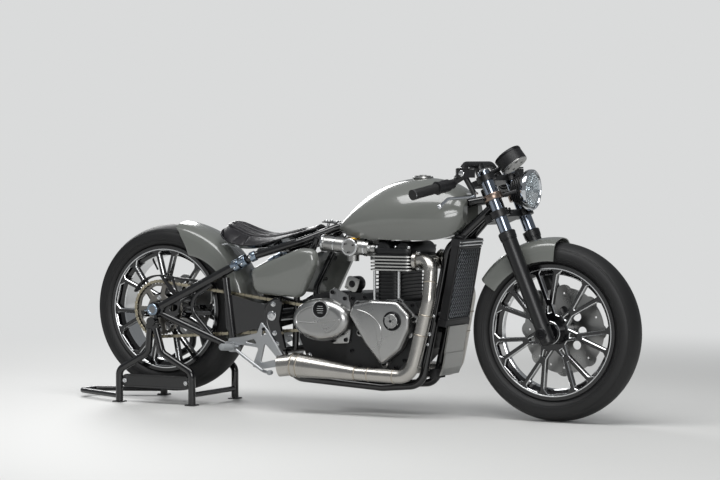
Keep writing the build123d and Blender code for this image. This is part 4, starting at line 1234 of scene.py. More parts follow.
@dataclass
class ChainDrive:
    """The rivets of the chain's pins and the nuts that hold the sprocket."""

    pitch: float = 15.875
    rear_teeth: int = 42
    front_teeth: int = 16
    chain_y: float = -104.0
    chain_width: float = 20.0
    output: Vector = field(default_factory=lambda: Vector((-62.0, 0.0, 345.0)))
    nut_circle: float = 44.0
    nut_count: int = 5

    def build(self) -> None:
        """Build the rivets and the nuts."""
        self.rivet_pins()
        self.bolt_sprocket()

    def pin_places(self) -> list[Vector]:
        """Walk the chain's pitch line link by link.

        Returns:
            One place for each pin.
        """
        big = self.pitch / (2 * math.sin(math.pi / self.rear_teeth))
        small = self.pitch / (2 * math.sin(math.pi / self.front_teeth))
        rear = Vector((REAR_AXLE.x, REAR_AXLE.z))
        front = Vector((self.output.x, self.output.z))
        span = (front - rear).length
        lie = math.asin((front.y - rear.y) / span)
        taper = math.asin((big - small) / span)
        run = math.sqrt(span**2 - (big - small) ** 2)
        up, low = lie + math.pi / 2 - taper, lie - math.pi / 2 + taper
        front_wrap = small * (math.pi - 2 * taper)
        whole = 2 * run + big * (math.pi + 2 * taper) + front_wrap
        count = round(whole / self.pitch)

        def around(hub: Vector, radius: float, angle: float) -> Vector:
            """Give the flat point at a radius and an angle about a hub."""
            return hub + Vector((math.cos(angle), math.sin(angle))) * radius

        spots = []
        for link in range(count):
            travel = whole * link / count
            if travel < run:
                spot = around(around(rear, big, up), travel, up - math.pi / 2)
            elif travel < run + front_wrap:
                spot = around(front, small, up - (travel - run) / small)
            elif travel < 2 * run + front_wrap:
                spot = around(around(front, small, low), travel - run - front_wrap, low - math.pi / 2)
            else:
                spot = around(rear, big, low - (travel - 2 * run - front_wrap) / big)
            spots.append(Vector((spot.x, 0.0, spot.y)))
        return spots

    def rivet_pins(self) -> None:
        """Set a rivet head on both ends of each pin."""
        shape = Shape()
        places = []
        for spot in self.pin_places():
            for side in SIDES:
                places.append(stand_at(spot + Vector((0, self.chain_y + side * self.chain_width / 2, 0)),
                                       (0, side, 0)))
        shape.join(rod(1.6, 2.9, 2.2, sides=12), places)
        shape.piece("chain_rivets", "chassis", [BRASS_STEEL])

    def bolt_sprocket(self) -> None:
        """Set the nuts on the sprocket's face and a ring around its middle."""
        shape = Shape()
        face = self.chain_y - 3
        places = []
        for turn in range(self.nut_count):
            angle = math.tau * (turn + 0.3) / self.nut_count
            spot = Vector((math.cos(angle), 0, math.sin(angle))) * self.nut_circle
            places.append(stand_at(REAR_AXLE + spot + Vector((0, face, 0)), (0, -1, 0)))
        shape.join(hex_nut(8, 6), places)
        hub = [(22, 0), (22, 7), (24, 9), (31, 9), (33, 7), (33, 0)]
        shape.join(turned(hub, 48), stand_at(REAR_AXLE + Vector((0, face, 0)), (0, -1, 0)), 1)
        shape.piece("sprocket_nuts", "rear_wheel", [BRIGHT_CUT, BLACK_BOLT])


@dataclass
class EngineTrim:
    """Fasteners, badge places, studs and bright lines of the engine."""

    case_half: float = 120.0
    cover_bolts: tuple[Flat, ...] = (
        (-122, 375), (-109, 404), (63, 417), (124, 357), (102, 300), (2, 190), (-100, 300),
    )
    case_bolts: tuple[Flat, ...] = (
        (-134, 424), (-84, 430), (110, 406), (128, 372), (112, 262), (78, 204), (44, 176), (-40, 172), (-104, 174),
        (-138, 232),
    )
    tab_bolts: tuple[Flat, ...] = ((-212, 446), (-160, 424), (-208, 268), (-156, 272))
    cap_place: Flat = (284.0, 350.0)
    disc_place: Flat = (-8.0, 384.0)
    starter_place: Flat = (89.0, 477.0)
    oval: tuple[float, float, float, float] = (-20.0, 344.0, 119.0, 79.0)
    stud_reach: Flat = (50.0, 110.0)
    barrel: Flat = (421.0, 527.0)
    port_y: float = 100.0
    port_z: float = 566.0
    port_face: float = 350.6

    def build(self) -> None:
        """Build the engine's trim."""
        self.bolt_covers()
        self.dress_cap()
        self.dress_disc()
        self.raise_creases()
        self.stand_studs()
        self.nut_ports()
        self.bolt_cam_cover()
        self.place_starter()

    def bolt_covers(self) -> None:
        """Set black socket bolts around the covers on both sides."""
        shape = Shape()
        right = [side_at(ENGINE_X + x, -self.case_half - 12, z) for x, z in self.cover_bolts + self.tab_bolts]
        shape.join(socket_bolt(7.5, 8), right)
        edges = [side_at(ENGINE_X + x, -self.case_half, z) for x, z in self.case_bolts]
        left = [side_at(ENGINE_X + x, self.case_half, z) for x, z in self.case_bolts]
        round_cover = []
        for turn in range(7):
            angle = math.tau * turn / 7
            round_cover.append(side_at(ENGINE_X + 30 + 78 * math.cos(angle), self.case_half + 34,
                                       320 + 78 * math.sin(angle)))
        shape.join(socket_bolt(6, 7), edges + left)
        shape.join(socket_bolt(6, 14), round_cover)
        shape.piece("engine_bolts", "chassis", [BLACK_BOLT])

    def dress_cap(self) -> None:
        """Cast the domed clutch cover and dress its cap with a black ring and a raised cross."""
        shape = Shape()
        x, z = self.cap_place
        ring = [(24.5, 0), (24.5, 7), (26, 8.2), (33, 8.2), (35, 6.4), (35.6, 0)]
        shape.join(turned(ring), side_at(x, -174, z))
        body = filleted([(-126, 366, 20), (-112, 406, 22), (-34, 424, 60), (68, 422, 34), (124, 370, 30),
                         (122, 322, 50), (82, 244, 60), (6, 186, 16), (-64, 266, 60)], 8)
        shape.join(plate(body, 55, 17, 5), side_at(ENGINE_X, -120, 0), 1)
        shape.join(turned([(25.6, 0), (25.6, 12), (24.4, 13), (0.01, 13)]), side_at(x, -174.5, z), 1)
        for roll in (20, 110):
            shape.join(block(37, 8, 3, 1.0), side_at(x, -187.6, z, roll), 1)
        shape.join(socket_bolt(5, 3), side_at(x, -190.4, z), 0)
        for turn in range(4):
            angle = math.radians(65 + 90 * turn)
            shape.join(button_head(2.6, 1.8, 12),
                       side_at(x + 28 * math.cos(angle), -183.0, z + 28 * math.sin(angle)), 1)
        made = shape.piece("domed_clutch_cover", "chassis", [BLACK_BOLT, BRUSHED_COVER])
        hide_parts("clutch_cover")

    def dress_disc(self) -> None:
        """Close the oval cover's badge place with a plain black disc that has slots and no marks."""
        shape = Shape()
        x, z = self.disc_place
        disc = [(0.01, -6), (0.01, 2.6), (25, 2.6), (26.5, 1.6), (28, 3.4), (30.2, 3.4), (31, 2.4), (31, -6)]
        shape.join(turned(disc), side_at(x, -183, z))
        for offset in (-12, -4, 4, 12):
            shape.join(block(30 - abs(offset) * 0.7, 2.4, 1.4, 0.4), side_at(x, -185.4, z + offset), 1)
        rim = [(29.8, 3), (29.8, 4), (31.6, 4), (32, 3), (32, -6), (30.4, -6)]
        shape.join(turned(rim), side_at(x, -183, z), 1)
        shape.piece("oval_cover_disc", "chassis", [BLACK_BOLT, BRIGHT_CUT])

    def oval_way(self, long: float, high: float, first: float, last: float, y: float) -> list[Vector]:
        """Follow an oval around the cover's middle between two angles.

        Args:
            long: half of its length.
            high: half of its height.
            first: the first angle in degrees.
            last: the last angle in degrees.
            y: place across the machine.

        Returns:
            Places along it.
        """
        cx, cz, _, _ = self.oval
        count = 28
        way = []
        for step in range(count + 1):
            angle = math.radians(first + (last - first) * step / count)
            way.append(Vector((cx + long * math.cos(angle), y, cz + high * math.sin(angle))))
        return way

    def raise_creases(self) -> None:
        """Raise the oval cover's lip, its ridge and the double crease at its lower front."""
        shape = Shape()
        _, _, long, high = self.oval
        shape.join(tube(self.oval_way(long - 26, high - 26, 60, 196, -179.2), 3.4))
        shape.join(tube(self.oval_way(long - 30, high - 30, -74, 8, -179.4), 2.6))
        shape.join(tube(self.oval_way(long - 44, high - 44, -72, 4, -179.6), 2.2))
        ridge = smooth_way([(-108, -177.6, 336), (-70, -180.2, 334), (-20, -180.4, 336), (30, -180.4, 342),
                            (74, -178.8, 350)], 6)
        shape.join(tube(ridge, 2.8))
        cover = smooth_way([(ENGINE_X - 92, -172.5, 388), (ENGINE_X - 40, -175.2, 372), (ENGINE_X + 6, -175.2, 330),
                            (ENGINE_X + 8, -175.2, 270), (ENGINE_X + 4, -173.0, 226)], 6)
        shape.join(tube(cover, 2.6))
        shape.piece("cover_creases", "chassis", [BRUSHED_COVER])

    def stand_studs(self) -> None:
        """Stand the bright studs between the barrel's fins."""
        shape = Shape()
        ahead, aside = self.stud_reach
        low, high = self.barrel
        for x in (-ahead, ahead):
            for y in (-aside, aside):
                shape.bar((ENGINE_X + x, y, low), (ENGINE_X + x, y, high), 5.4, sides=20)
        shape.piece("barrel_studs", "chassis", [BRIGHT_CUT])

    def nut_ports(self) -> None:
        """Clamp each exhaust flange with a pair of nuts."""
        shape = Shape()
        places = []
        for side in SIDES:
            for off in (-29, 29):
                places.append(stand_at((self.port_face - 2, side * self.port_y, self.port_z + off), (1, 0, 0)))
        shape.join(hex_nut(7, 7), places)
        clamp = rounded_outline(74, 26, 12.5)
        for side in SIDES:
            lug = plate(clamp, 7, 1.2)
            shape.join(lug, stand_at((self.port_face - 9, side * self.port_y, self.port_z), (1, 0, 0), 90), 1)
        shape.piece("port_nuts", "chassis", [BRIGHT_CUT, BLACK_BOLT])

    def bolt_cam_cover(self) -> None:
        """Bolt the cam cover down along its valley and at its corners."""
        shape = Shape()
        x = ENGINE_X + 22
        places = [stand_at((x, y, 610)) for y in (-84, -28, 28, 84)]
        places += [stand_at((x + ahead, y, 610)) for ahead in (-66, 66) for y in (-106, 106)]
        shape.join(socket_bolt(6.5, 9), places)
        for ahead in (-42, 42):
            for side in SIDES:
                cap = [(0.01, 0), (0.01, 1), (14, 1), (15.5, 2.6), (19.5, 2.6), (20.5, 1.4), (20.5, 0)]
                shape.join(turned(cap, 40), side_at(x + ahead, side * 106, 601), 1)
        shape.piece("cam_cover_bolts", "chassis", [BRIGHT_CUT, ENGINE_ENAMEL])

    def place_starter(self) -> None:
        """Lay the drum behind the barrels with its bright end plate and two bolts."""
        shape = Shape()
        x, z = self.starter_place
        shape.bar((x, -64, z), (x, -114, z), 28, sides=48, round_mm=1.5, slot=1)
        shape.bar((x, -66, z - 25), (x, -112, z - 25), 14, sides=24, slot=1)
        diamond = [(34, 0), (26, 11), (8, 29), (0, 32), (-8, 29), (-26, 11), (-34, 0), (-26, -11), (-8, -29), (0, -32),
                   (8, -29), (26, -11)]
        shape.join(plate(diamond, 6, 1.0), side_at(x, -113.5, z, 25))
        bore = [(0.01, 0), (0.01, 0.8), (9, 0.8), (10, 1.8), (12.4, 1.8), (13, 1), (13, 0)]
        shape.join(turned(bore, 40), side_at(x, -119, z), 1)
        way = Vector((math.cos(math.radians(25)), 0, math.sin(math.radians(25)))) * 26
        places = [stand_at(Vector((x, -119.5, z)) + way * sign, (0, -1, 0)) for sign in SIDES]
        shape.join(socket_bolt(5, 5), places, 0)
        shape.piece("starter_end", "chassis", [CAST_ALLOY, BLACK_BOLT])


@dataclass
class IntakeTrim:
    """Rings, clamps and screws of the two throttle bodies."""

    place: Vector = field(default_factory=lambda: Vector((79.0, 90.0, 612.0)))
    wire_pitch: float = 5.4

    def build(self) -> None:
        """Build the trim on both sides."""
        shape = Shape()
        for side in SIDES:
            top = Vector((self.place.x, side * self.place.y, 640))
            brass = [(17, 0), (17, 4), (18.5, 5.5), (22.5, 5.5), (23.6, 4), (23.6, -6), (22, -6), (22, 0)]
            shape.join(turned(brass, 48), stand_at(top), 0)
            shape.join(turned([(0.01, 0), (0.01, 3), (14, 3), (16.5, 1.5), (16.5, 0)], 40), stand_at(top), 1)
            places = []
            for turn in range(3):
                angle = math.tau * turn / 3 + 0.4
                places.append(side_at(self.place.x + 19 * math.cos(angle), side * 130,
                                      self.place.z + 19 * math.sin(angle)))
            shape.join(button_head(3.2, 2.6, 16), places, 2)
            ring = [(26, 0), (26, 2.5), (30.5, 2.5), (32, 1.2), (32, 0)]
            shape.join(turned(ring, 56), side_at(self.place.x, side * 124, self.place.z), 1)
            for x, radius, width in ((156, 17.2, 10), (138, 29.2, 8), (10, 29.2, 6)):
                band = [(radius, 0), (radius + 1.6, 0.6), (radius + 1.6, width - 0.6), (radius, width)]
                height = 607 if x > 150 else 608 + (144 - x) * 0.0833
                shape.join(turned(band, 48), stand_at((x, side * 90, height), (-1, 0, 0.0833)), 1)
                shape.join(socket_bolt(3.4, 9), stand_at((x - 4, side * 90, height + radius + 2), (0, side, 0)), 2)
            mouth = Vector((-42, side * 90, 624))
            lip = [(24, 0), (24, 3), (27, 5), (31, 5), (34, 2), (34.5, 0), (34, -6), (30, -6), (30, 0)]
            shape.join(turned(lip, 64), stand_at(mouth, (-1, 0, 0.0833)), 1)
            shape.join(turned([(0.01, 0), (0.01, 0.7), (25, 0.7), (25, 0)], 40), stand_at(mouth, (-1, 0, 0.0833)), 3)
            for step in range(-4, 5):
                off = step * self.wire_pitch
                reach = math.sqrt(max(24**2 - off**2, 1))
                base = mouth + Vector((-1.4, 0, 0.1))
                shape.bar(base + Vector((0, off, -reach)), base + Vector((0, off, reach)), 0.6, sides=6, slot=1)
                shape.bar(base + Vector((0, -reach, off)), base + Vector((0, reach, off)), 0.6, sides=6, slot=1)
        made = shape.piece("intake_trim", "chassis", [BRASS, BRIGHT_CUT, BLACK_BOLT, HOUSING_BLACK])


@dataclass
class ExhaustTrim:
    """Weld beads along the pipes and the bolts of their hangers."""

    # place beside the machine, direction along the pipe, radius of the pipe
    welds: tuple[tuple[Row, Row, float], ...] = (
        ((423.5, 149.5, 490.0), (10, 44, -144), 25.0),
        ((417.0, 171.3, 375.0), (-40, 12, -180), 25.0),
        ((400.0, 176.5, 303.0), (-40, 12, -180), 25.0),
        ((300.0, 190.0, 151.6), (-218, 0, 6), 25.0),
        ((196.0, 190.0, 154.6), (-218, 0, 6), 25.0),
        ((143.0, 190.0, 156.0), (-232, 5, 20), 26.2),
        ((-88.5, 195.0, 176.0), (-232, 5, 20), 44.3),
        ((-112.0, 195.6, 178.0), (-232, 5, 20), 44.3),
    )
    bead: float = 1.5

    def build(self) -> None:
        """Lay the beads on both pipes and hang the rear of each from a bracket bolt."""
        for side, name in ((-1, "right"), (1, "left")):
            shape = Shape()
            for (x, y, z), (dx, dy, dz), radius in self.welds:
                section = [(radius - 1, -2.2), (radius + 0.2, -2.2), (radius + self.bead, -0.8),
                           (radius + self.bead, 0.8), (radius + 0.2, 2.2), (radius - 1, 2.2)]
                shape.join(turned(section, 72), stand_at((x, side * y, z), (dx, side * dy, dz)))
            shape.join(hex_nut(7, 6), stand_at((-60, side * 170, 214), (0, side, 0)), 1)
            shape.bar((-60, side * 196, 206), (-60, side * 168, 214), 6, sides=16, slot=1)
            shape.piece(f"exhaust_welds_{name}", "chassis", [WELD_STEEL, BRIGHT_CUT])


@dataclass
class RadiatorTrim:
    """The radiator's cap, its two upper bars and the slats behind its guard."""

    lean: float = math.radians(10.4)
    half: float = 95.0
    height: float = 286.0
    top: Flat = (510.6, 627.3)
    slat_pitch: float = 7.0

    def at(self, aside: float, up: float, out: float) -> Vector:
        """Give a place on the radiator: across, up from its foot and out from its face.

        Args:
            aside: distance across from the middle.
            up: distance up from its foot.
            out: distance out from its face.

        Returns:
            The place.
        """
        way = Vector((math.sin(self.lean), 0, math.cos(self.lean)))
        face = Vector((math.cos(self.lean), 0, -math.sin(self.lean)))
        foot = Vector((self.top[0], 0, self.top[1])) - way * self.height
        return foot + way * up + face * out + Vector((0, aside, 0))

    def build(self) -> None:
        """Build the bars, slats, cap and corner screws."""
        shape = Shape()
        for up in (self.height - 2, self.height + 10):
            shape.bar(self.at(-self.half, up, 5.5), self.at(self.half, up, 5.5), 3.6, sides=16, round_mm=1.0)
        count = int((self.height - 34) / self.slat_pitch)
        way = Vector((math.sin(self.lean), 0, math.cos(self.lean)))
        slats = []
        for row in range(count):
            up = 20 + row * self.slat_pitch
            slats.append(Matrix.Translation(self.at(0, up, 0)) @ Matrix.Rotation(-self.lean, 4, "Y").inverted())
        # The slats' lighter grey is a painted highlight over the black core
        shape.join(block(1.6, 2 * self.half - 24, 1.1, 0.3), slats, 1)
        cap = self.at(-62, self.height + 17, -14)
        lid = [(0.01, 0), (17, 0), (17, 3), (20, 4), (21, 6), (21, 11), (19, 13), (8, 14), (0.01, 14)]
        shape.join(turned(lid, 48), stand_at(cap, way), 2)
        for aside in (-self.half + 8, self.half - 8):
            for up in (14, self.height - 14):
                shape.join(button_head(4, 3, 16), stand_at(self.at(aside, up, 3.2), (1, 0, -math.tan(self.lean))), 0)
        shape.piece("radiator_trim", "chassis", [BRIGHT_CUT, CORE_GREY, HOUSING_BLACK])


@dataclass
class CastRim:
    """A cast wheel: a dropped barrel, a hub and forked spokes with bright cut edges."""

    name: str
    body: str
    centre: Vector
    rim_width: float
    hub_radius: float
    hub_width: float
    first_angle: float
    spokes: int = 7
    thickness: float = 26.0
    cut_edge: float = 2.6
    lip: float = 242.5
    bead: float = 229.0
    well: float = 208.0
    wall: float = 4.0
    bore: float = 12.6

    def windows(self) -> list[list[Flat]]:
        """Give the outlines of all the windows around the wheel.

        Returns:
            One outline for each window.
        """
        half_pitch = 180 / self.spokes
        kinds = (
            # turn from the spoke, rows of radius, angle and corner radius
            (0, ((70, -6, 2), (94, -2.4, 1), (94, 2.4, 1), (70, 6, 2))),
            (0, ((120, -1.2, 1), (214, -7.4, 8), (222, -5.2, 0), (222, 5.2, 0), (214, 7.4, 8), (120, 1.2, 1))),
            (half_pitch, ((66, -6, 4), (100, -18.5, 12), (206, -14.2, 10), (222, -9.6, 0), (222, 9.6, 0),
                          (206, 14.2, 10), (100, 18.5, 12), (66, 6, 4))),
        )
        found = []
        for spoke in range(self.spokes):
            for turn, rows in kinds:
                base = self.first_angle + turn + 2 * half_pitch * spoke
                found.append(filleted([(*polar(r, base + a), c) for r, a, c in rows], 4))
        return found

    def build(self) -> None:
        """Build the wheel and let it stand for the plain one."""
        shape = Shape()
        half = self.rim_width / 2
        lip, bead, well, wall = self.lip, self.bead, self.well, self.wall
        outer = [(bead - wall, -half), (lip - 0.8, -half), (lip, -half + 0.8), (lip, -half + 6), (bead, -half + 8),
                 (bead, -half + 24), (well, -half + 34), (well, half - 34), (bead, half - 24), (bead, half - 8),
                 (lip, half - 6), (lip, half - 0.8), (lip - 0.8, half), (bead - wall, half)]
        inner = [(bead - wall, half - 26), (well - wall, half - 38), (well - wall, -half + 38),
                 (bead - wall, -half + 26)]
        barrel = turned(outer + inner, 128)
        bmesh.ops.recalc_face_normals(barrel, faces=barrel.faces)
        shape.join(barrel, stand_at(self.centre, (0, 1, 0)))
        for face in shape.whole.faces:
            off = face.calc_center_median() - self.centre
            off.y = 0
            if off.length < bead - wall + 0.5 and face.normal.dot(off) < 0:
                face.material_index = 1
        rim = [polar(bead - wall + 1, 360 * step / 126) for step in range(126)]
        spokes = pierced(rim, self.windows(), self.thickness, self.cut_edge, 1, rim_too=False)
        for face in spokes.faces:
            face.smooth = False
        self.join_kept(shape, spokes, side_at(self.centre.x, -half + 4 + self.thickness, self.centre.z))
        reach = self.hub_width / 2
        hub = [(self.bore, -reach), (self.hub_radius - 1.5, -reach), (self.hub_radius, -reach + 1.5),
               (self.hub_radius, reach - 1.5), (self.hub_radius - 1.5, reach), (self.bore, reach)]
        shape.join(turned(hub, 72), stand_at(self.centre, (0, 1, 0)))
        made = shape.piece(f"{self.name}_cast_rim", self.body, [RIM_ENAMEL, BRIGHT_CUT])
        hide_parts(f"{self.name}_rim")

    @staticmethod
    def join_kept(shape: Shape, part: Solid, place: Matrix) -> None:
        """Join a solid that already has its own finishes on its faces."""
        bmesh.ops.recalc_face_normals(part, faces=part.faces)
        merge(shape.whole, part, [place])


@dataclass
class RollerChain(ChainDrive):
    """The chain link by link, and the toothed sprocket with its windows."""

    plate_height: float = 14.6
    plate_thickness: float = 2.3
    roller_radius: float = 4.9
    roller_width: float = 9.0
    tooth_gap: float = 0.6
    thickness: float = 6.0
    arms: int = 7

    def build(self) -> None:
        """Build the chain, its rivets, the sprocket and its nuts."""
        self.link_up()
        self.cut_sprocket()
        super().build()

    def link_up(self) -> None:
        """Lay waisted plates and rollers from pin to pin; every other link sits outside."""
        shape = Shape()
        radius = self.plate_height / 2
        outline = []
        for sign in (1, -1):
            for step in range(9):
                angle = 120 * (step / 8) - 60
                x, y = polar(radius, angle)
                outline.append((sign * (self.pitch / 2 + x), sign * y))
            outline.append((0.0, sign * radius * 0.62))
        spots = self.pin_places()
        outside: list[Matrix] = []
        inside: list[Matrix] = []
        for index, spot in enumerate(spots):
            after = spots[(index + 1) % len(spots)]
            middle = (spot + after) / 2
            roll = math.degrees(math.atan2(after.z - spot.z, after.x - spot.x))
            reach = self.chain_width / 2 - self.plate_thickness
            step_in = self.plate_thickness + 0.2 if index % 2 else 0.0
            chosen = inside if index % 2 else outside
            chosen.append(side_at(middle.x, self.chain_y - reach + step_in, middle.z, roll))
            chosen.append(side_at(middle.x, self.chain_y + reach + self.plate_thickness - step_in, middle.z, roll))
        for slot, places in enumerate((outside, inside)):
            shape.join(plate(outline, self.plate_thickness, 0.35, 1), places, slot)
        rollers = [side_at(spot.x, self.chain_y + self.roller_width / 2, spot.z) for spot in spots]
        shape.join(rod(self.roller_width, self.roller_radius, sides=16), rollers, 1)
        made = shape.piece("roller_chain", "chassis", [BRASS_STEEL, CHAIN_STEEL])
        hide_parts("drive_chain")

    def cut_sprocket(self) -> None:
        """Cut the sprocket's teeth and its windows, and stand it on its carrier."""
        shape = Shape()
        top = self.pitch / (2 * math.sin(math.pi / self.rear_teeth)) - 5 - self.tooth_gap
        step = 360 / self.rear_teeth
        outline = []
        for tooth in range(self.rear_teeth):
            for share, radius in ((0.0, top - 4.0), (0.22, top - 2.8), (0.38, top), (0.62, top), (0.78, top - 2.8)):
                outline.append(polar(radius, (tooth + share) * step))
        pitch = 360 / self.arms
        holes = []
        for arm in range(self.arms):
            base = arm * pitch
            rows = ((58, -17, 4), (88, -20, 5), (90, 0, 30), (88, 20, 5), (58, 17, 4))
            holes.append(filleted([(*polar(r, base + a), c) for r, a, c in rows], 4))
        holes.append([polar(21, 360 * spot / 40) for spot in range(40)])
        shape.join(pierced(outline, holes, self.thickness, 0.8),
                   side_at(REAR_AXLE.x, self.chain_y + self.thickness / 2, REAR_AXLE.z))
        carrier = [(20.5, 0), (20.5, 26), (52, 26), (52, 2), (50, 0)]
        shape.join(turned(carrier, 64), stand_at(REAR_AXLE + Vector((0, -75, 0)), (0, -1, 0)), 1)
        made = shape.piece("toothed_sprocket", "rear_wheel", [SPROCKET_STEEL, BLACK_BOLT])
        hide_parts("rear_sprocket")


@dataclass
class BodyPanels:
    """The painted sheet panels: both fenders and the side pods, with their stays and bolts."""

    rear_radius: float = 360.0
    rear_half: float = 91.0
    rear_centre: Vector = field(default_factory=lambda: Vector((-732.5, 0.0, 338.0)))
    skirt_depth: float = 165.0
    pod_in: float = 125.0
    pod_depth: float = 37.0
    # x from the engine, z, corner radius
    pod_corners: tuple[Row, ...] = (
        (-556, 526, 32), (-346, 606, 80), (-286, 604, 32), (-270, 556, 46), (-340, 421, 38), (-540, 432, 40),
    )

    def build(self) -> None:
        """Build all the panels."""
        self.roll_rear()
        self.roll_front()
        self.press_pods()

    def roll_rear(self) -> None:
        """Roll the rear fender and cut its skirts back round the swingarm."""
        sheet = fender_sheet(self.rear_centre, self.rear_radius, self.rear_half, self.skirt_depth, -17, 84)
        disc = moved(rod(4 * self.rear_half, 215, sides=96),
                     stand_at((REAR_AXLE.x + 92, 2 * self.rear_half, REAR_AXLE.z - 6), (0, -1, 0)))
        cut_rows = ((225, 56, 0), (262, 66, 14), (306, 76, 20), (338, 84, 4), (350, 110, 0), (180, 100, 0))
        corner = filleted([(*polar(r, a), c) for r, a, c in cut_rows], 5)
        block_out = moved(plate(corner, 4 * self.rear_half),
                          Matrix(((1, 0, 0, REAR_AXLE.x), (0, 0, -1, 2 * self.rear_half),
                                  (0, 1, 0, REAR_AXLE.z), (0, 0, 0, 1))))
        shape = Shape()
        shape.join(carve(sheet, [disc, block_out]))
        for side in SIDES:
            stay = (REAR_AXLE.x + 274, side * (self.rear_half - 3), REAR_AXLE.z + 134)
            shape.bar(stay, (stay[0], side * (ARM_Y - 8), stay[2]), 8, sides=20, slot=1)
            shape.join(turned([(8.2, 0), (8.2, 3), (15, 3), (16, 1.5), (16, 0)], 32),
                       side_at(stay[0], side * self.rear_half, stay[2]), 1)
        made = shape.piece("rear_fender_skin", "chassis", [GREY_PAINT, BLACK_ENAMEL])
        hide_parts("rear_fender")

    def roll_front(self) -> None:
        """Roll the front fender and bolt it between the fork legs."""
        sheet = fender_sheet(FRONT_AXLE, 338, 74, 84, 86, 146, steps=40)
        shape = Shape()
        shape.join(sheet)
        stay = fork_point(268)
        for side in SIDES:
            for along in (246, 290):
                spot = fork_point(along)
                shape.bar((spot.x, side * 71, spot.z), (spot.x, side * 84, spot.z), 8, sides=20, slot=1)
                shape.join(button_head(6.5, 4.5), side_at(spot.x, side * 84, spot.z), 2)
            tab = filleted([(-14, -34, 8), (14, -34, 8), (14, 34, 8), (-14, 34, 8)])
            tilt = math.degrees(RAKE) * (1 if side < 0 else -1)
            shape.join(plate(tab, 3, 0.8), side_at(stay.x, side * 76, stay.z, tilt), 1)
        made = shape.piece("front_fender_skin", "steering", [GREY_PAINT, BLACK_ENAMEL, BRIGHT_CUT])
        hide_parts("front_fender")

    def press_pods(self) -> None:
        """Press the side pods with a wide rounded face."""
        shape = Shape()
        for side in SIDES:
            corners = self.pod_corners if side < 0 else tuple((-x, z, r) for x, z, r in reversed(self.pod_corners))
            part = plate(filleted(corners, 8), self.pod_depth)
            top = [edge for edge in part.edges if all(vert.co.z > self.pod_depth - 0.1 for vert in edge.verts)]
            bevel_edges(part, top, 25, 8)
            shape.join(part, side_at(ENGINE_X, side * self.pod_in, 0))
        made = shape.piece("side_pod_skins", "chassis", [GREY_PAINT])
        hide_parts("side_pods")


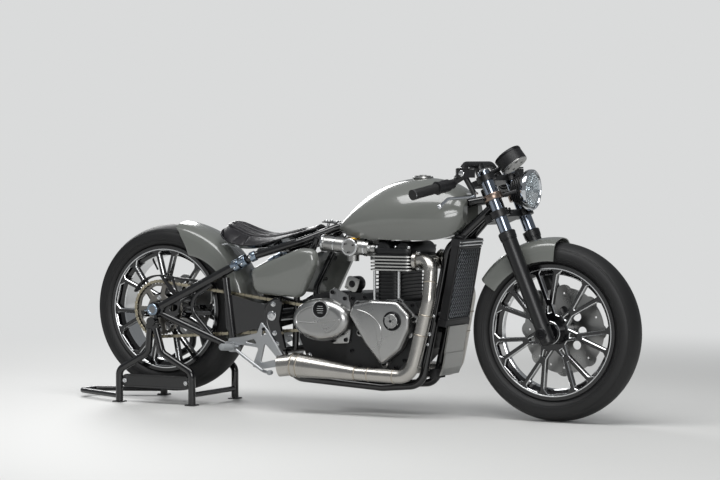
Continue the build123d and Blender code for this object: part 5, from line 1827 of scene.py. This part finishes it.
@dataclass
class EngineForms:
    """The engine's larger forms: cam humps, cover flanges, tabs and the mesh guard before the radiator."""

    case_half: float = 120.0
    flange: float = 12.0
    head_x: float = 250.0
    head_top: float = 588.0
    tabs: tuple[Row, ...] = (
        (-226, 452, 6), (-208, 462, 8), (-150, 436, 8), (-139, 400, 8), (-139, 300, 8), (-146, 260, 8),
        (-212, 255, 8), (-224, 282, 6),
    )
    mesh_wide: float = 17.0
    mesh_tall: float = 26.0
    mesh_wire: float = 2.4

    def build(self) -> None:
        """Build the forms."""
        self.cast_cam_cover()
        self.cast_flanges()
        self.weave_guard()
        self.fin_regulator()

    def cast_cam_cover(self) -> None:
        """Cast the cam cover with its two humps."""
        shape = Shape()
        base = rounded_outline(146, 228, 24)
        shape.join(plate(base, 22, 3), stand_at((self.head_x, 0, self.head_top)))
        for ahead in (-42, 42):
            x = self.head_x + ahead
            shape.join(rod(212, 33, sides=64, round_mm=9), stand_at((x, -106, 601), (0, 1, 0)))
        made = shape.piece("cam_humps", "chassis", [ENGINE_ENAMEL])
        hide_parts("cam_cover")

    def cast_flanges(self) -> None:
        """Cast the clutch cover's bolted flange and the oval cover's two tabs."""
        shape = Shape()
        rows = ((-132, 372, 18), (-118, 416, 20), (68, 428, 26), (136, 362, 26), (6, 176, 26))
        shape.join(plate(filleted([(ENGINE_X + x, z, r) for x, z, r in rows]), self.flange, 2.5),
                   side_at(0, -self.case_half, 0))
        bosses = [side_at(ENGINE_X + x, -self.case_half, z) for x, z in EngineTrim.cover_bolts]
        shape.join(rod(self.flange, 14, sides=32, round_mm=2), bosses)
        shape.join(plate(filleted([(ENGINE_X + x, z, r) for x, z, r in self.tabs]), self.flange, 2.5),
                   side_at(0, -self.case_half, 0))
        shape.piece("cover_flanges", "chassis", [BRUSHED_COVER])

    def weave_guard(self) -> None:
        """Cross flat wires into the radiator's diamond guard, inside its frame."""
        shape = Shape()
        rows = RadiatorTrim()
        half, height = 84.0, 256.0
        middle = rows.height / 2
        for slope in SIDES:
            reach = int(half / self.mesh_wide + height / 2 / self.mesh_tall) + 2
            for line in range(-reach, reach + 1):
                spots = self.clipped(line, slope, half, height / 2)
                if spots:
                    start, end = spots
                    foot = rows.at(start[0], middle + start[1], 1.8)
                    head = rows.at(end[0], middle + end[1], 1.8)
                    shape.bar(foot, head, self.mesh_wire / 1.7, sides=4)
        for aside in (-88.5, 88.5):
            shape.bar(rows.at(aside, 8, 1.6), rows.at(aside, rows.height - 8, 1.6), 4.6, sides=8, slot=1)
        for up in (10.5, rows.height - 10.5):
            shape.bar(rows.at(-92, up, 1.6), rows.at(92, up, 1.6), 4.6, sides=8, slot=1)
        made = shape.piece("mesh_guard", "chassis", [GUARD_STEEL, RADIATOR_BLACK])
        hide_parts("radiator_grille")

    def clipped(self, line: int, slope: int, half: float,
                high: float) -> tuple[Flat, Flat] | None:
        """Cut one wire's line to the guard's opening, or give nothing where it misses.

        Args:
            line: which wire, counted from the middle.
            slope: the way it leans, 1 or -1.
            half: half of the opening across.
            high: half of its height.

        Returns:
            The wire's two ends, or None.
        """
        offset = line * self.mesh_wide
        found = []
        for aside in (-half, half):
            up = slope * (aside - offset) * self.mesh_tall / self.mesh_wide
            if abs(up) <= high:
                found.append((aside, up))
        for up in (-high, high):
            aside = offset + slope * up * self.mesh_wide / self.mesh_tall
            if abs(aside) < half:
                found.append((aside, up))
        return (found[0], found[1]) if len(found) >= 2 else None

    def fin_regulator(self) -> None:
        """Stand cooling fins on the regulator's face."""
        shape = Shape()
        places = [Matrix.Translation(Vector((ENGINE_X + 152, step * 9.0, 152 - 17))) for step in range(-4, 5)]
        shape.join(block(27, 4, 34, 0.8), places)
        made = shape.piece("regulator_fins", "chassis", [RADIATOR_BLACK])
        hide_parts("regulator")


@dataclass
class ForkTrim:
    """Seals, caps and pinch bolts of the fork, and the axle's ends."""

    leg_high: float = 363.0
    clamp_low: float = 455.0
    clamp_mid: float = 520.0
    clamp_top: float = 592.0
    tube_top: float = 618.0

    def build(self) -> None:
        """Build the fork's trim."""
        shape = Shape()
        for side in SIDES:
            aside = side * HALF_FORK
            seal = [(23, 0), (31, 0), (31.5, 2), (31.5, 8), (29, 11), (25, 13), (23, 13)]
            shape.join(turned(seal, 56), stand_at(fork_point(self.leg_high + 12, aside), STEER_UP), 1)
            shape.join(turned([(28.2, 0), (30.6, 0.8), (30.6, 3.2), (28.2, 4)], 56),
                       stand_at(fork_point(self.leg_high - 6, aside), STEER_UP), 1)
            cap = [(0.01, 4), (9, 4), (10, 7), (17, 7), (20, 4.5), (21, 0), (21, -3), (0.01, -3)]
            shape.join(turned(cap, 48), stand_at(fork_point(self.tube_top, aside), STEER_UP), 0)
            shape.join(rod(6, 8.5, sides=6, round_mm=0.8), stand_at(fork_point(self.tube_top + 4, aside), STEER_UP), 0)
            for along in (self.clamp_low - 6, self.clamp_low + 6, self.clamp_top):
                shape.join(socket_bolt(6, 6), stand_at(fork_point(along, side * (HALF_FORK - 26), 29), STEER_AHEAD), 2)
            ring = [(22.6, -11), (33.5, -11), (34.5, -9), (34.5, 9), (33.5, 11), (22.6, 11)]
            shape.join(turned(ring, 56), stand_at(fork_point(self.clamp_mid, aside), STEER_UP), 3)
            shape.join(socket_bolt(5, 9), stand_at(fork_point(self.clamp_mid, side * (HALF_FORK + 30), -16),
                                                    -STEER_AHEAD), 2)
            for along in (-24, 24):
                shape.join(socket_bolt(5.5, 5),
                           stand_at(fork_point(along, side * (HALF_FORK + 6), 27), STEER_AHEAD), 2)
            foot = [(0.01, 0), (14, 0), (22, 3), (27.5, 9), (27.5, 12), (0.01, 12)]
            shape.join(turned(foot, 48), stand_at(fork_point(-44, aside), STEER_UP), 1)
            plug = [(0.01, 1), (8, 1), (9, 4), (17, 4), (19.5, 2), (20, 0), (0.01, 0)]
            shape.join(turned(plug, 48), side_at(FRONT_AXLE.x, side * (HALF_FORK + 36), FRONT_AXLE.z), 2)
        stem = [(0.01, 3), (10, 3), (11, 6), (18, 6), (20, 4), (20, 0), (0.01, 0)]
        shape.join(turned(stem, 48), stand_at(fork_point(self.clamp_top + 11, 0, -FORK_LEAD + 24), STEER_UP), 0)
        made = shape.piece("fork_trim", "steering", [BRIGHT_CUT, FORK_BLACK, BLACK_BOLT, BRONZE_CLAMP])


@dataclass
class ControlsTrim:
    """What the bar carries beside its grips: ribs, end plugs, lids, perches, buttons and pivots."""

    rise: float = 62.0
    housing_near: float = 28.0
    ribs: int = 15
    grip_far: float = 197.9
    bar_up: float = 606.0
    bar_back: float = 6.0

    def middle(self) -> Vector:
        """Give the middle of the bar, above and behind the top clamp."""
        return fork_point(self.bar_up + self.rise, 0, -FORK_LEAD - self.bar_back)

    def bar_place(self, distance: float, side: int) -> Vector:
        """Give a place along one end of the bar, from its lower bend outwards.

        Args:
            distance: millimetres from the lower bend.
            side: the side, -1 for the right.

        Returns:
            The place.
        """
        middle = self.middle()
        bend = Vector((middle.x + 4, 210, middle.z - 66))
        end = Vector((middle.x - 68, 386, middle.z - 104))
        point = bend + (end - bend).normalized() * distance
        return Vector((point.x, side * point.y, point.z))

    def build(self) -> None:
        """Build the trim of both ends."""
        shape = Shape()
        middle = self.middle()
        for side in SIDES:
            way = (self.bar_place(10, side) - self.bar_place(0, side)).normalized()
            rib = [(16.6, -1.5), (17.9, -0.6), (17.9, 0.6), (16.6, 1.5)]
            for step in range(self.ribs):
                spot = self.bar_place(self.grip_far - 18 - step * 6.4, side)
                shape.join(turned(rib, 40), stand_at(spot, way), 0)
            end = self.bar_place(self.grip_far - 6, side)
            shape.join(turned([(11, 0), (11, 3), (13, 4.4), (17.4, 4.4), (19, 2.6), (19, 0)], 48), stand_at(end, way),
                       1)
            shape.join(turned([(0.01, 0), (0.01, 3), (9, 3), (11, 1.5), (11, 0)], 40), stand_at(end, way), 2)
            start = self.bar_place(self.housing_near - 24, side)
            lid_spot = start + Vector((46, side * -6, 52))
            lid = [polar(37.2, 60 * corner + 30) for corner in range(6)]
            shape.join(plate(lid, 5, 1.4), stand_at(lid_spot, (-0.05, 0, 1)), 2)
            for off in (-16, 16):
                shape.join(button_head(3.6, 2.2, 16), stand_at(lid_spot + Vector((off, 0, 4.8))), 1)
            shape.join(turned([(0.01, 0), (0.01, 1), (9, 1), (10.5, 0)], 32),
                       stand_at(start + Vector((46, side * (-6 + 33.5), 37)), (0, side, 0)), 1)
            pivot = Vector((middle.x + 78, side * 190, middle.z - 108))
            shape.join(turned([(0.01, 0), (0.01, 3), (5, 3), (8.5, 1.5), (8.5, 0)], 28),
                       stand_at(pivot + Vector((0, 0, 11))), 1)
            perch = [(-20, -9), (16, -9), (22, 0), (16, 9), (-20, 9)]
            shape.join(plate(perch, 7, 1.2), stand_at(pivot + Vector((-12, side * -2, 4)), (0, 0, 1)), 1)
            near = self.bar_place(self.housing_near + 8, side)
            mid = self.bar_place(self.housing_near + 25, side)
            for spot, height in ((near, 24.5), (mid, 24.5)):
                shape.join(rod(4, 6.5, 5.6, 24, 0.8), stand_at(spot + Vector((-15, 0, 12)), (-0.7, 0, 0.7)), 2)
            seam = self.bar_place(self.housing_near + 24, side)
            shape.join(turned([(21.8, -1), (22.8, -0.5), (22.8, 0.5), (21.8, 1)], 48), stand_at(seam, way), 2)
            flare = self.bar_place(self.housing_near + 48, side)
            shape.join(turned([(17, 0), (22, 0), (24.5, 3), (24.5, 5.5), (22, 7), (17, 7)], 48), stand_at(flare, way),
                       2)
        shape.piece("controls_trim", "steering", [GRIP_RUBBER, BRIGHT_CUT, HOUSING_BLACK])


@dataclass
class Instruments:
    """The speedometer's dial and rings, and the headlight's glass, reflector, rim and ribs."""

    lamp_radius: float = 70.0
    ticks: int = 25

    def build(self) -> None:
        """Build both."""
        self.draw_dial()
        self.glaze_lamp()

    def draw_dial(self) -> None:
        """Set the dial, its marks and its needle inside a rim, with a plate below."""
        shape = Shape()
        middle = fork_point(634, 0, 71)
        up = Vector((-0.62, 0, 0.78)).normalized()
        place = stand_at(middle, up)
        rim = [(47, 22), (47, 25.2), (48.4, 26.4), (50, 26.4), (51.6, 24.8), (53, 22.5), (53, 16), (51.5, 16),
               (51.5, 22)]
        shape.join(turned(rim, 96), place, 0)
        shape.join(turned([(0.01, 25.2), (0.01, 25.8), (48, 25.8), (48, 25.2)], 64), place, 2)
        for mark in range(self.ticks):
            long = mark % 4 == 0
            angle = math.radians(225 - 270 * mark / (self.ticks - 1))
            reach = 9 if long else 5
            spot = Matrix.Rotation(angle, 4, "Z") @ Matrix.Translation(Vector((44 - reach / 2, 0, 25.9)))
            shape.join(block(reach, 1.5 if long else 0.8, 0.5, 0.15), place @ spot, 3)
        needle = [(-9, -2), (34, -0.5), (34, 0.5), (-9, 2)]
        turn = Matrix.Rotation(math.radians(225), 4, "Z") @ Matrix.Translation(Vector((0, 0, 26.6)))
        shape.join(plate(needle, 0.8, 0.2), place @ turn, 3)
        shape.join(turned([(0.01, 26), (0.01, 28.2), (4, 28.2), (5.4, 26.8), (5.4, 26)], 32), place, 0)
        base = [(0.01, -25.4), (0.01, -26.4), (43, -26.4), (45, -27.4), (50, -27.4), (51.4, -26), (51.4, -22),
                (50, -22)]
        shape.join(turned(base, 96), place, 1)
        for turn_deg in (40, 140, 220, 320):
            spot = Vector((*polar(30, turn_deg), -27.2))
            shape.join(rod(1.2, 5, sides=20, round_mm=0.3), place @ Matrix.Translation(spot), 2)
        made = shape.piece("speedometer_dial", "steering", [BLACK_BOLT, CAST_ALLOY, HOUSING_BLACK, DIAL_WHITE])

    def glaze_lamp(self) -> None:
        """Set the reflector, the bulb's shield, the domed glass and the bright rim, and rib the shell."""
        centre = fork_point(504, 0, 104)
        ahead = (1, 0, 0)
        body = Shape()
        rim = [(64, -4), (65, 6), (67, 8.5), (70.5, 8.5), (73, 6), (73.6, 0), (72.6, -9), (70.2, -14), (68, -14),
               (68, -4)]
        body.join(turned(rim, 112), stand_at(centre, ahead), 0)
        dish = [(0.01, -7.6), (14, -7.4), (30, -6.0), (46, -3.2), (58, 0.4), (64, 3.6), (64.6, 3.0), (64.6, -7.8),
                (0.01, -7.8)]
        body.join(turned(dish, 96), stand_at(centre, ahead), 1)
        ribs = []
        for turn in range(24):
            angle = math.tau * turn / 24
            away = Vector((0, math.cos(angle), math.sin(angle)))
            ribs.append((centre + away * 20 + Vector((-6.4, 0, 0)), centre + away * 60 + Vector((1.6, 0, 0))))
        for start, end in ribs:
            body.bar(start, end, 0.7, 0.9, sides=6, slot=1)
        bulb = [(0.01, 4.6), (9, 4.2), (13, 2), (15, -3), (15, -7), (0.01, -7)]
        body.join(turned(bulb, 48), stand_at(centre, ahead), 0)
        for rib in range(5):
            back = 22 + rib * 9
            outer = self.lamp_radius - 3 - (back - 16) * 0.42
            body.join(turned([(outer - 7, -2), (outer - 0.8, -2), (outer, -1.2), (outer, 1.2), (outer - 0.8, 2),
                              (outer - 7, 2)], 72), stand_at(centre - Vector((back, 0, 0)), ahead), 2)
        made = body.piece("headlight_insides", "steering", [CHROME, REFLECTOR, HOUSING_BLACK])
        glass = Shape()
        dome = [(0.01, 6.8), (20, 6.6), (40, 5.9), (56, 4.8), (63.5, 3.6), (63.5, 2.4), (56, 3.4), (40, 4.5), (20, 5.2),
                (0.01, 5.4)]
        glass.join(turned(dome, 96), stand_at(centre, ahead), 0)
        for step in range(-5, 6):
            reach = math.sqrt(58**2 - (step * 9.6) ** 2)
            glass.bar(centre + Vector((5.2, step * 9.6, -reach)), centre + Vector((5.2, step * 9.6, reach)), 0.8,
                      sides=6)
        lens = glass.piece("headlight_glass", "steering", [LAMP_GLASS])
        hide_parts("headlight_lens")


@dataclass
class FrameTrim:
    """Bolts, gussets, sleeves, brackets and foot-control details on the frame and the swingarm."""

    sleeve_end: Vector = field(default_factory=lambda: Vector((-347.0, 137.0, 560.0)))

    def build(self) -> None:
        """Build the frame's trim."""
        self.gusset_swingarm()
        self.bolt_pivots()
        self.dress_foot_controls()
        self.dress_stand()
        self.bracket_seat()
        self.ring_cap()
        self.bolt_calipers()

    def gusset_swingarm(self) -> None:
        """Weld pierced gussets into the swingarm and clamp its top joints with bright sleeves."""
        shape = Shape()
        rail = (Vector((-343, 0, 565)) - REAR_AXLE)
        rail.y = 0
        rail.normalize()
        for side in SIDES:
            flip = -1 if side > 0 else 1
            corners = [(flip * x, z, r) for x, z, r in
                       ((40, 12, 4), (118, 56, 8), (104, -10, 8), (86, -36, 8), (46, -18, 5))]
            tear = [(flip * (83 + 19 * math.cos(a) * math.cos(0.35) - 12 * math.sin(a) * math.sin(0.35)),
                     8 + 19 * math.cos(a) * math.sin(0.35) + 12 * math.sin(a) * math.cos(0.35))
                    for a in [math.tau * step / 32 for step in range(32)]]
            if side > 0:
                corners.reverse()
                tear.reverse()
            shape.join(pierced(filleted(corners), [tear], 12, 1.2),
                       side_at(REAR_AXLE.x, side * (ARM_Y - 6), REAR_AXLE.z), 0)
            end = Vector((self.sleeve_end.x, side * self.sleeve_end.y, self.sleeve_end.z))
            rail_end = Vector((-303, side * 126, 580))
            shape.bar(end - rail * 4, rail_end, 14.5, sides=40, round_mm=1.5)
            shape.bar(end.lerp(rail_end, 0.3), end.lerp(rail_end, 0.75), 19, sides=40, round_mm=1.5, slot=1)
            shape.join(socket_bolt(6, 5), side_at(-327, side * 150, 570), 2)
            for back in (2, 36):
                band = [(17.2, 0), (21, 0), (22.4, 1.4), (22.4, 24.6), (21, 26), (17.2, 26)]
                shape.join(turned(band, 48), stand_at(end - rail * (back + 26), rail), 1)
                spot = end - rail * (back + 13) + Vector((0, side * 20, 0))
                shape.join(block(26, 16, 16, 2), Matrix.Translation(spot + Vector((0, 0, -8)))
                           @ Matrix.Rotation(-math.atan2(rail.z, rail.x), 4, "Y"), 1)
                for drop in SIDES:
                    shape.join(socket_bolt(5.5, 5), stand_at(spot + Vector((0, 0, 8 * drop)), (0, 0, drop)), 2)
            shape.join(turned([(13, 0), (13, 3), (15, 5), (21, 5), (23, 3), (23, 0)], 48),
                       side_at(REAR_AXLE.x, side * (ARM_Y + 24), REAR_AXLE.z), 1)
            shape.bar((REAR_AXLE.x - 22, side * ARM_Y, REAR_AXLE.z - 2),
                      (REAR_AXLE.x - 50, side * ARM_Y, REAR_AXLE.z - 5),
                      4, sides=16, slot=1)
            shape.join(hex_nut(8, 6), stand_at((REAR_AXLE.x - 26, side * ARM_Y, REAR_AXLE.z - 2), (-1, 0, -0.1)), 1)
        shape.piece("swingarm_trim", "chassis", [BLACK_ENAMEL, CLAMP_BLUE, BRIGHT_CUT])

    def bolt_pivots(self) -> None:
        """Bolt the pivot plates: a capped pivot and a column of bright bolts on each side."""
        shape = Shape()
        for side in SIDES:
            y = side * (ARM_Y + 15)
            shape.join(turned([(0.01, 1), (8, 1), (9, 5), (15, 5), (18, 3), (18.5, 0), (0.01, 0)], 48),
                       side_at(PIVOT.x, y, PIVOT.z), 0)
            for ahead, up in ((6, 44), (12, -64), (22, -104)):
                shape.join(hex_nut(8, 6), side_at(PIVOT.x + ahead, y, PIVOT.z + up), 0)
            loop = [(PIVOT.x + 34, side * 145, PIVOT.z + 62), (PIVOT.x + 2, side * 146, PIVOT.z + 56),
                    (PIVOT.x - 24, side * 147, PIVOT.z + 34), (PIVOT.x - 27, side * 147, PIVOT.z),
                    (PIVOT.x - 20, side * 147, PIVOT.z - 40), (PIVOT.x + 6, side * 147, PIVOT.z - 92),
                    (PIVOT.x + 44, side * 147, PIVOT.z - 136)]
            shape.join(tube(smooth_way(loop, 6), 7.5, 14), slot=1)
            shape.join(socket_bolt(7, 6), side_at(ENGINE_X + 160, side * 75, 300), 0)
            for x, z in ((ENGINE_X + 150, 262), (ENGINE_X + 174, 366)):
                shape.join(button_head(6.5, 5), side_at(x, side * 75, z), 0)
        shape.piece("pivot_bolts", "chassis", [BRIGHT_CUT, BLACK_ENAMEL])

    def dress_foot_controls(self) -> None:
        """Cut windows into the foot-control plates, and dress the pegs and pedals."""
        for side, name in ((-1, "right"), (1, "left")):
            shape = Shape()
            flip = 1 if side < 0 else -1
            corners = [(-501, 330, 6), (-470, 296, 6), (-404, 200, 8), (-432, 164, 8), (-500, 152, 8), (-540, 160, 6),
                       (-512, 232, 8), (-590, 240, 10), (-640, 226, 6), (-646, 262, 6), (-596, 268, 10), (-520, 286, 8)]
            windows = [[(-486, 250, 5), (-504, 176, 5), (-428, 192, 5)],
                       [(-534, 264, 4), (-576, 252, 3), (-518, 244, 4)],
                       [(-494, 306, 3), (-502, 276, 4), (-476, 284, 3)]]
            rows = [filleted([(flip * (ENGINE_X + x), z, r) for x, z, r in loop]) for loop in [corners, *windows]]
            shape.join(pierced(rows[0], rows[1:], 9.7, 1.6), side_at(0, side * 152.3, 0), 0)
            root = Vector((ENGINE_X - 611, side * 198, 232))
            way = Vector((-math.sin(math.radians(6)), side * math.cos(math.radians(6)), math.sin(math.radians(5))))
            way.normalize()
            shape.bar((ENGINE_X - 632, side * 156, 244), (ENGINE_X - 632, side * 190, 244), 10, sides=32, round_mm=1.2)
            shape.bar(root - way * 40, root, 17, sides=40, round_mm=2)
            shape.bar(root - way * 2, root + way * 60, 12.2, sides=32, round_mm=2.5, slot=1)
            for step in range(9):
                shape.join(turned([(11.8, -1.6), (13, -0.9), (13, 0.9), (11.8, 1.6)], 32),
                           stand_at(root + way * (6 + step * 6), way), 1)
            lever = smooth_way([(ENGINE_X - 632, side * 184, 244), (ENGINE_X - 612, side * 184, 234),
                                (ENGINE_X - 590, side * 184, 218), (ENGINE_X - 536, side * 185, 183),
                                (ENGINE_X - 484, side * 186, 152), (ENGINE_X - 462, side * 196, 147),
                                (ENGINE_X - 442, side * 206, 145)], 5)
            shape.join(tube(lever, 5.8, 14))
            tip = Vector((ENGINE_X - 441, side * 206, 145))
            shape.bar(tip - Vector((0, side * 16, 0)), tip + Vector((0, side * 4, 0)), 9, sides=28, round_mm=2, slot=1)
            for x, z in ((-489, 302), (-426, 184), (-520, 164)):
                shape.join(socket_bolt(6.5, 5), side_at(ENGINE_X + x, side * 162, z), 2)
            made = shape.piece(f"foot_control_{name}", "chassis", [SATIN_SILVER, PEG_GREY, BLACK_BOLT])
            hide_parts(f"rearset_{name}")

    def dress_stand(self) -> None:
        """Bolt the stand's blank plate and put feet under its legs."""
        shape = Shape()
        for aside in (-138, 138):
            spot = (REAR_AXLE.x + 11 + aside, -158, 84)
            shape.join(turned([(0.01, 2), (4, 2), (4.6, 5), (8, 5), (9.5, 3), (10, 0), (0.01, 0)], 36),
                       side_at(*spot), 0)
        rim = filleted([(-150, -21, 20), (150, -21, 20), (150, 21, 20), (-150, 21, 20)], 8)
        inner = filleted([(-146.5, -17.5, 16.5), (146.5, -17.5, 16.5), (146.5, 17.5, 16.5), (-146.5, 17.5, 16.5)], 8)
        shape.join(pierced(rim, [inner], 1.6, 0.5), side_at(REAR_AXLE.x + 11, -158, 84), 1)
        for side in SIDES:
            for ahead in (-153, 175):
                shape.join(plate(rounded_outline(44, 44, 6), 5, 1), stand_at((REAR_AXLE.x + ahead, side * 158, 0.2)), 1)
        shape.piece("stand_trim", "chassis", [BRIGHT_CUT, BLACK_ENAMEL])

    def bracket_seat(self) -> None:
        """Bridge the seat's nose and the tank's tail with a bolted bracket."""
        shape = Shape()
        outline = filleted([(-40, -34, 8), (34, -26, 8), (34, 26, 8), (-40, 34, 8)])
        shape.join(plate(outline, 4, 1), stand_at((-52, 0, 696), (0.08, 0, 1)), 1)
        for x, y in ((-74, -22), (-74, 22), (-36, -14), (-36, 14)):
            shape.join(socket_bolt(6.5, 6), stand_at((x, y, 700 + (x + 52) * -0.08), (0.08, 0, 1)), 0)
        for side in SIDES:
            shape.bar((-58, side * 26, 700), (-66, side * 30, 668), 5, sides=16, slot=0)
        shape.piece("seat_bracket", "chassis", [BRIGHT_CUT, BLACK_ENAMEL])

    def ring_cap(self) -> None:
        """Ring the filler cap with a bolted collar, and hinge its lid."""
        shape = Shape()
        centre = Vector((ENGINE_X + 92, 0, 866.2))
        collar = [(29.6, 0), (29.6, 3.4), (31, 4.6), (36, 4.6), (38, 3), (38.6, -1), (36, -3)]
        shape.join(turned(collar, 80), stand_at(centre))
        screws = [stand_at(centre + Vector((*polar(34, 60 * step + 20), 4.4))) for step in range(6)]
        shape.join(button_head(2.4, 1.6, 14), screws, 1)
        shape.join(plate(rounded_outline(26, 9, 3), 2.6, 0.8), stand_at(centre + Vector((0, 0, 8.1))), 0)
        shape.piece("filler_collar", "chassis", [CAST_ALLOY, BLACK_BOLT])

    def bolt_calipers(self) -> None:
        """Bolt the calipers and show their piston caps."""
        for name, body, centre, ahead, above, face in (
            ("rear", "chassis", REAR_AXLE, 96, 58, 106.0), ("front", "steering", FRONT_AXLE, -118, 92, 96.0),
        ):
            shape = Shape()
            for off in (-24, 24):
                cap = [(0.01, 0), (0.01, 2.5), (14, 2.5), (16, 4), (18.5, 4), (19.5, 2), (19.5, 0)]
                shape.join(turned(cap, 40), side_at(centre.x + ahead, face, centre.z + above + off), 0)
            for dx, dz in ((-24, 40), (24, 40), (-24, -40), (24, -40)):
                shape.join(socket_bolt(5, 5), side_at(centre.x + ahead + dx, face, centre.z + above + dz), 1)
            shape.piece(f"{name}_caliper_caps", body, [CAST_ALLOY, BLACK_BOLT])


def dress_frame(nodes: dict) -> None:
    """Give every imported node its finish.

    Args:
        nodes: node name to its object.
    """
    for finish, names in NODE_FINISHES.items():
        for name in names:
            node = nodes[name]
            node.data.materials.clear()
            node.data.materials.append(finish.material())


@dataclass
class Studio:
    """The pale floor, the soft lamps and the camera at the photograph's view."""

    eye: Row = (4.3444, -8.0101, 0.9467)
    yaw_deg: float = 28.15
    pitch_deg: float = 1.97
    lens_mm: float = 122.37
    sensor_mm: float = 36.0
    floor_size: float = 60.0
    floor_colour: str = "d4d4d2"
    world_grey: str = "b4b7ba"
    world_strength: float = 0.5
    backdrop: str = "dadbdb"
    fade_from: float = 1.7
    fade_to: float = 4.5

    def build(self) -> None:
        """Build the whole studio."""
        self.make_camera()
        self.make_floor()
        self.make_world()
        self.make_lamps()
        settings = bpy.context.scene.view_settings
        settings.view_transform = "Standard"

    def make_camera(self) -> None:
        """Place the camera where the photograph was taken from."""
        lens = bpy.data.cameras.new("camera")
        lens.lens = self.lens_mm
        lens.sensor_width = self.sensor_mm
        eye = linked("camera", lens)
        eye.location = self.eye
        eye.rotation_euler = (math.radians(90 - self.pitch_deg), 0, math.radians(self.yaw_deg))
        bpy.context.scene.camera = eye

    def make_floor(self) -> None:
        """Lay a wide pale floor at Z 0."""
        mesh = bpy.data.meshes.new("floor")
        shape = bmesh.new()
        bmesh.ops.create_grid(shape, x_segments=1, y_segments=1, size=self.floor_size / 2)
        shape.to_mesh(mesh)
        shape.free()
        floor = linked("floor", mesh)
        mesh.materials.append(self.floor_paint())

    def floor_paint(self) -> bpy.types.Material:
        """Paint the floor pale, and let it run out into the backdrop's colour away from the machine.

        Returns:
            The floor's material.
        """
        paint = bpy.data.materials.new("pale_floor_paint")
        paint.use_nodes = True
        tree = paint.node_tree
        tree.nodes.clear()
        place = add(tree, "ShaderNodeTexCoord").outputs["Object"]
        away = add(tree, "ShaderNodeVectorMath", {}, {0: place}, operation="LENGTH")
        share = add(tree, "ShaderNodeMapRange", {"From Min": self.fade_from, "From Max": self.fade_to},
                    {"Value": away.outputs["Value"]}, interpolation_type="SMOOTHSTEP")
        ray = add(tree, "ShaderNodeLightPath")
        seen = add(tree, "ShaderNodeMath", {}, {0: ray.outputs["Is Camera Ray"], 1: ray.outputs["Is Glossy Ray"]},
                   operation="MAXIMUM")
        fade = add(tree, "ShaderNodeMath", {}, {0: share.outputs["Result"], 1: seen.outputs[0]}, operation="MULTIPLY")
        matt = add(tree, "ShaderNodeBsdfPrincipled", {"Base Color": linear(self.floor_colour), "Roughness": 0.6})
        glow = add(tree, "ShaderNodeEmission", {"Color": linear(self.backdrop), "Strength": 1.0})
        mixed = add(tree, "ShaderNodeMixShader", links={0: fade.outputs[0], 1: matt.outputs[0], 2: glow.outputs[0]})
        add(tree, "ShaderNodeOutputMaterial", links={"Surface": mixed.outputs[0]})
        return paint

    def make_world(self) -> None:
        """Fill the room with even soft light, and show a pale backdrop to the camera and in mirrors."""
        world = bpy.data.worlds.new("studio")
        world.use_nodes = True
        tree = world.node_tree
        tree.nodes.clear()
        light = add(tree, "ShaderNodeBackground", {"Color": linear(self.world_grey), "Strength": self.world_strength})
        seen = add(tree, "ShaderNodeBackground", {"Color": linear(self.backdrop), "Strength": 1.0})
        ray = add(tree, "ShaderNodeLightPath")
        mixed = add(tree, "ShaderNodeMixShader", links={0: ray.outputs["Is Camera Ray"], 1: light.outputs[0],
                                                       2: seen.outputs[0]})
        add(tree, "ShaderNodeOutputWorld", links={"Surface": mixed.outputs[0]})
        bpy.context.scene.world = world

    def make_lamps(self) -> None:
        """Hang three soft boxes: one along the machine, one at its side and one behind."""
        rows = (
            # name, place, aim, width, length, watts
            ("top_box", (0.3, -1.2, 3.4), (0.0, 0.0, 0.5), 1.6, 4.2, 110),
            ("side_box", (3.6, -4.6, 2.2), (0.2, 0.0, 0.5), 2.4, 2.4, 120),
            ("rim_box", (-3.4, 3.2, 2.6), (0.0, 0.0, 0.6), 2.0, 2.0, 90),
        )
        for name, place, aim, width, length, watts in rows:
            lamp = bpy.data.lights.new(name, "AREA")
            lamp.shape = "RECTANGLE"
            lamp.size, lamp.size_y, lamp.energy = length, width, watts
            holder = linked(name, lamp)
            holder.location = place
            holder.rotation_euler = (Vector(aim) - Vector(place)).to_track_quat("-Z", "Y").to_euler()


def main() -> None:
    """Load the frame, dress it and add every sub-assembly."""
    logging.basicConfig(level=logging.INFO, format="%(name)s: %(message)s")
    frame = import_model()
    nodes = frame["nodes"]
    dress_frame(nodes)
    Studio().build()
    SeatLeather().build(nodes["seat"])
    BodyPanels().build()
    CastRim("front", "front_wheel", FRONT_AXLE, 96, 42, 130, 96).build()
    CastRim("rear", "rear_wheel", REAR_AXLE, 150, 48, 150, 90).build()
    WheelTrim("front", "front_wheel", FRONT_AXLE, 320, 123, 96, 130, 42).build()
    WheelTrim("rear", "rear_wheel", REAR_AXLE, 323, 166, 150, 150, 48).build()
    RollerChain().build()
    EngineForms().build()
    EngineTrim().build()
    IntakeTrim().build()
    ExhaustTrim().build()
    RadiatorTrim().build()
    ForkTrim().build()
    ControlsTrim().build()
    Instruments().build()
    FrameTrim().build()


if __name__ == "__main__":
    main()
